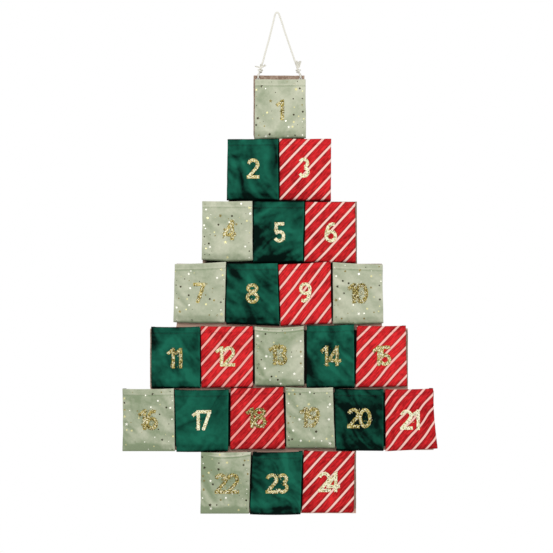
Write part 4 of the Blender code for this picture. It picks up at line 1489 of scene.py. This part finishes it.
def add_flakes(bm, surfaces, number, settings, low, high):
    """Strew small tilted hexagons of foil over the numeral's film, and some loose ones beside it."""
    film, cloth = surfaces
    pale, stray = GLITTER_TONES[number], STRAY_FLAKES.get(number, 0.06)
    rng = random.Random(1000 + number)
    flake = small_shape(
        "flake",
        "glitter_tone",
        bmesh.ops.create_cone,
        cap_ends=True,
        segments=6,
        radius1=1,
        radius2=1,
        depth=1,
    )
    across = round((high.x - low.x) / settings.flake_pitch)
    upward = round((high.z - low.z) / settings.flake_pitch)
    for row in range(upward + 1):
        for column in range(across + 1):
            x = low.x + (column + 0.5 * (row % 2) + rng.uniform(-0.35, 0.35)) * settings.flake_pitch
            z = low.z + (row + rng.uniform(-0.35, 0.35)) * settings.flake_pitch
            place, _ = drop_on(film, x, z)
            steep = math.radians(rng.uniform(0, settings.flake_degrees))
            heading = rng.uniform(0, 2 * math.pi)
            radius = settings.flake_radius * rng.uniform(0.6, 1)
            # Painted glint: each flake's colour tone is drawn at random about the numeral's paleness
            shine = rng.gauss(pale, settings.sparkle)
            strewn = rng.random() < stray
            if place is None:
                near = any(hits_around(film, x, z, 1.9 * MM))
                if not strewn or not (near or beside(film, x, z, -1) and beside(film, x, z, 1)):
                    continue
                place = drop_on(cloth, x, z)[0]
                radius *= 0.66
                shine = rng.gauss(0.4, settings.sparkle)
            elif not all(hits_around(film, x, z, 1.3 * MM)):
                radius *= 0.72
                shine -= 0.22
            shine = min(max(shine, 0), 1)
            turn = Matrix.Rotation(heading, 4, "Y") @ Matrix.Rotation(steep, 4, "X")
            flat = Matrix.Diagonal((radius, radius, settings.flake_depth * 2, 1))
            stand = Matrix.Translation(place) @ turn @ Matrix.Rotation(math.pi / 2, 4, "X") @ flat
            copy_onto(bm, flake, stand, "glitter_tone", shine)
    bpy.data.meshes.remove(flake)


class CALENDAR_OT_numerals(Operator):
    """Cut the twenty-four numerals from glitter film and iron them on"""

    bl_idname = "calendar.numerals"
    bl_label = "Numerals"

    def execute(self, context):
        settings = context.scene.calendar_numerals
        glitter = glitter_material(settings)
        for number, _, _ in numbered_pockets():
            mesh = numeral_mesh(context, number, settings)
            node = f"number_{number:02d}"
            add_piece(f"{node}_glitter", mesh, glitter, "calendar", [node])
        return {"FINISHED"}


# Stitching and foil print

def sew_line(bm, points, settings):
    """Stitches at even steps along a line of points, each a length of thread that dips in at both ends."""
    stitch = small_shape("stitch", "", bmesh.ops.create_uvsphere, u_segments=6, v_segments=5, radius=1)
    girth = settings.thread / 2
    scale = Matrix.Diagonal((girth, girth, settings.stitch / 2, 1))
    left = settings.stitch_pitch / 2
    for a, b in zip(points, points[1:]):
        span = (b - a).length
        turn = (b - a).to_track_quat("Z", "Y").to_matrix().to_4x4()
        while left < span:
            copy_onto(bm, stitch, Matrix.Translation(a.lerp(b, left / span)) @ turn @ scale)
            left += settings.stitch_pitch
        left -= span
    bpy.data.meshes.remove(stitch)


def seam_mesh(context, number, settings, pockets):
    """A pocket's thread: the hem's topstitching, and its seam where it shows on the felt's back."""
    places = fold_places(number)
    cloth = surface_of(context, f"pocket_{number:02d}_cloth")
    bm = bmesh.new()
    left, right = places["mouth"]
    line = []
    steps = 60
    for step in range(steps + 1):
        u = step / steps
        x = left + 1.2 * MM + (right - left - 2.4 * MM) * u
        drop = hem_line(pockets, number, u)
        shift, lift = corner_shift(number, u, 1 - drop / (places["high"] - places["low"]))
        hem = places["high"] - drop - pockets.sag * 0.6 * (1 - (2 * u - 1) ** 2)
        place, _ = drop_on(cloth, x + shift, hem + lift)
        if place is None:
            raise RuntimeError(f"the hem of pocket {number} has no cloth")
        line.append(place)
    sew_line(bm, line, settings)
    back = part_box("felt_backing")[1].y
    inset = settings.seam_inset
    foot = places["low"] + inset
    corners = [
        Vector((left + inset, back, places["high"] - 1 * MM)),
        Vector((places["foot"][0] + inset, back, foot)),
        Vector((places["foot"][1] - inset, back, foot)),
        Vector((right - inset, back, places["high"] - 1 * MM)),
    ]
    sew_line(bm, corners, settings)
    bmesh.ops.recalc_face_normals(bm, faces=bm.faces)
    return mesh_of(bm, f"pocket_{number:02d}_stitching")


class CALENDAR_OT_stitching(Operator):
    """Topstitch the hems and sew the pockets to the felt"""

    bl_idname = "calendar.stitching"
    bl_label = "Stitching"

    def execute(self, context):
        settings = context.scene.calendar_trim
        cloth = context.scene.calendar_cloth
        shades = (cloth.sage_shade, cloth.green_shade, cloth.red_shade)
        threads = [thread_material(f"{kind}_thread", shade) for kind, shade in zip(CLOTHS, shades)]
        for number, _, _ in numbered_pockets():
            kind = (number - 1) % len(CLOTHS)
            mesh = seam_mesh(context, number, settings, context.scene.calendar_pockets)
            add_piece(f"pocket_{number:02d}_stitching", mesh, threads[kind], "calendar")
        return {"FINISHED"}


# Foil tints, each with the share of the motifs that it and those before it take up
FOIL_TINTS = (
    (colour(255, 254, 240), 0.28),
    (colour(220, 214, 158), 0.50),
    (colour(134, 122, 72), 0.72),
    (colour(52, 46, 28), 1.00),
)


def motif_outline(star, radius, heading):
    """The corners of a small disc or five-pointed star."""
    corners = []
    steps = 10
    for step in range(steps):
        reach = radius * (0.42 if star and step % 2 else 1)
        angle = heading + 2 * math.pi * step / steps
        corners.append((reach * math.cos(angle), reach * math.sin(angle)))
    return corners


def foil_mesh(context, number, settings):
    """Foil dots and stars strewn over a sage pocket's front, pressed onto the cloth."""
    rng = random.Random(300 + number)
    places = fold_places(number)
    cloth = surface_of(context, f"pocket_{number:02d}_cloth")
    low, high = places["low"] + 3 * MM, places["high"] - 4 * MM
    left, right = places["mouth"][0] + 2 * MM, places["mouth"][1] - 2 * MM
    bm = bmesh.new()
    tint = bm.verts.layers.float_color.new("foil_tint")
    kept = []
    tries = 0
    while len(kept) < settings.motifs and tries < 4000:
        tries += 1
        u, v = rng.random(), rng.random()
        if rng.random() < 0.3:
            u = 0.12 * u if u < 0.5 else 1 - 0.12 * (1 - u)
        shift, lift = corner_shift(number, u, v)
        spot = (left + (right - left) * u + shift, low + (high - low) * v + lift)
        if any(math.dist(spot, other) < settings.motif_gap for other in kept):
            continue
        kept.append(spot)
        star = rng.random() < 0.26
        radius = rng.uniform(2.6, 4.0) * MM if star else rng.choice((0.7, 1.0, 1.4, 1.9)) * MM
        pick = rng.random()
        shade = next(base for base, up_to in FOIL_TINTS if pick <= up_to)
        front = []
        for x, z in motif_outline(star, radius, rng.uniform(0, 2 * math.pi)):
            place, _ = drop_on(cloth, spot[0] + x, spot[1] + z)
            if place is None:
                front = []
                break
            front.append(bm.verts.new((place.x, place.y - settings.foil, place.z)))
        if not front:
            continue
        face = bm.faces.new(front)
        rear = verts_of(bmesh.ops.extrude_face_region(bm, geom=[face])["geom"])
        bmesh.ops.translate(bm, vec=(0, 3 * settings.foil, 0), verts=rear)
        for vert in front + rear:
            vert[tint] = (*shade, 1)
    bmesh.ops.recalc_face_normals(bm, faces=bm.faces)
    return mesh_of(bm, f"pocket_{number:02d}_foil", smooth=False)


class CALENDAR_OT_foil(Operator):
    """Press foil dots and stars on the sage pockets"""

    bl_idname = "calendar.foil"
    bl_label = "Foil print"

    def execute(self, context):
        settings = context.scene.calendar_trim
        foil = foil_material()
        for number, _, _ in numbered_pockets():
            if cloth_of(number) == "sage":
                mesh = foil_mesh(context, number, settings)
                add_piece(f"pocket_{number:02d}_foil", mesh, foil, "calendar")
        return {"FINISHED"}


# Stage

def aim(made, place, target):
    """Put a lamp or camera at a place, looking at a target."""
    made.location = place
    made.rotation_euler = (Vector(target) - Vector(place)).to_track_quat("-Z", "Y").to_euler()


def add_lamp(name, width, power, place, target):
    """A square soft lamp."""
    lamp = bpy.data.lights.new(name, "AREA")
    lamp.size = width
    lamp.energy = power
    made = bpy.data.objects.new(name, lamp)
    bpy.context.scene.collection.objects.link(made)
    aim(made, place, target)
    return made


def white_world(strength):
    """Even light from all round, which looks plain white to the camera and in reflections."""
    world = bpy.data.worlds.new("studio")
    world.use_nodes = True
    tree = world.node_tree
    even = tree.nodes["Background"]
    even.inputs["Color"].default_value = (1, 1, 1, 1)
    even.inputs["Strength"].default_value = strength
    seen = tree.nodes.new("ShaderNodeBackground")
    seen.inputs["Color"].default_value = (1, 1, 1, 1)
    seen.inputs["Strength"].default_value = 1
    rays = tree.nodes.new("ShaderNodeLightPath").outputs
    glossy = math_node(tree, "MAXIMUM", rays["Is Glossy Ray"], rays["Is Transmission Ray"])
    mix = tree.nodes.new("ShaderNodeMixShader")
    tree.links.new(math_node(tree, "MAXIMUM", rays["Is Camera Ray"], glossy), mix.inputs[0])
    tree.links.new(even.outputs[0], mix.inputs[1])
    tree.links.new(seen.outputs[0], mix.inputs[2])
    tree.links.new(mix.outputs[0], tree.nodes["World Output"].inputs["Surface"])
    return world


class CALENDAR_OT_stage(Operator):
    """Set up the camera, the soft lamps, the white surroundings and the pale floor"""

    bl_idname = "calendar.stage"
    bl_label = "Stage"

    def execute(self, context):
        settings = context.scene.calendar_stage
        target = (-settings.view_shift, 0, -settings.view_drop)
        camera = bpy.data.cameras.new("camera")
        camera.sensor_width = settings.sensor
        camera.lens = settings.sensor * settings.camera_distance / settings.view_width
        viewer = bpy.data.objects.new("camera", camera)
        context.scene.collection.objects.link(viewer)
        aim(viewer, (-settings.view_shift, -settings.camera_distance, -settings.view_drop), target)
        context.scene.camera = viewer
        add_lamp("soft_lamp", settings.lamp_width, settings.lamp_power, (-0.9, -2.2, 0.8), target)
        add_lamp("side_lamp", settings.lamp_width / 2, settings.side_power, (1.6, -1.8, 0.2), target)
        context.scene.world = white_world(settings.sky)
        bm = bmesh.new()
        bmesh.ops.create_grid(bm, x_segments=1, y_segments=1, size=settings.floor_width / 2)
        bmesh.ops.translate(bm, vec=(0, 0, -settings.floor_drop), verts=bm.verts)
        floor = bpy.data.objects.new("floor", mesh_of(bm, "floor", smooth=False))
        material, _, shader = new_material("pale_floor")
        shader.inputs["Base Color"].default_value = (0.85, 0.85, 0.84, 1)
        shader.inputs["Roughness"].default_value = 0.8
        floor.data.materials.append(material)
        context.scene.collection.objects.link(floor)
        context.scene.view_settings.view_transform = "Standard"
        return {"FINISHED"}


class CALENDAR_PT_panel(Panel):
    """The calendar's pieces and their settings"""

    bl_label = "Felt advent calendar"
    bl_idname = "CALENDAR_PT_panel"
    bl_space_type = "VIEW_3D"
    bl_region_type = "UI"
    bl_category = "Calendar"

    def draw(self, context):
        for kind in OPERATORS:
            self.layout.operator(kind.bl_idname)
        for name in SETTINGS:
            box = self.layout.box()
            group = getattr(context.scene, name)
            for prop in group.bl_rna.properties:
                if not prop.is_readonly and prop.identifier != "name":
                    box.prop(group, prop.identifier)


OPERATORS = (
    CALENDAR_OT_stage,
    CALENDAR_OT_cord,
    CALENDAR_OT_felt,
    CALENDAR_OT_pockets,
    CALENDAR_OT_numerals,
    CALENDAR_OT_stitching,
    CALENDAR_OT_foil,
)
CLASSES = (*SETTINGS.values(), *OPERATORS, CALENDAR_PT_panel)


def register():
    """Make the pieces' operators, settings and panel known."""
    for kind in CLASSES:
        bpy.utils.register_class(kind)
    for name, group in SETTINGS.items():
        setattr(bpy.types.Scene, name, PointerProperty(type=group))


def unregister():
    """Take the operators, settings and panel away again."""
    for name in SETTINGS:
        delattr(bpy.types.Scene, name)
    for kind in reversed(CLASSES):
        bpy.utils.unregister_class(kind)


def declare_cloth():
    """Go through the pockets without doing anything with them."""
    for number, _, _ in numbered_pockets():
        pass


def main():
    """Build every piece."""
    register()
    noise.seed_set(NOISE_SEED)
    for kind in OPERATORS:
        group, name = kind.bl_idname.split(".")
        getattr(getattr(bpy.ops, group), name)()
    declare_cloth()


if __name__ == "__main__":
    main()
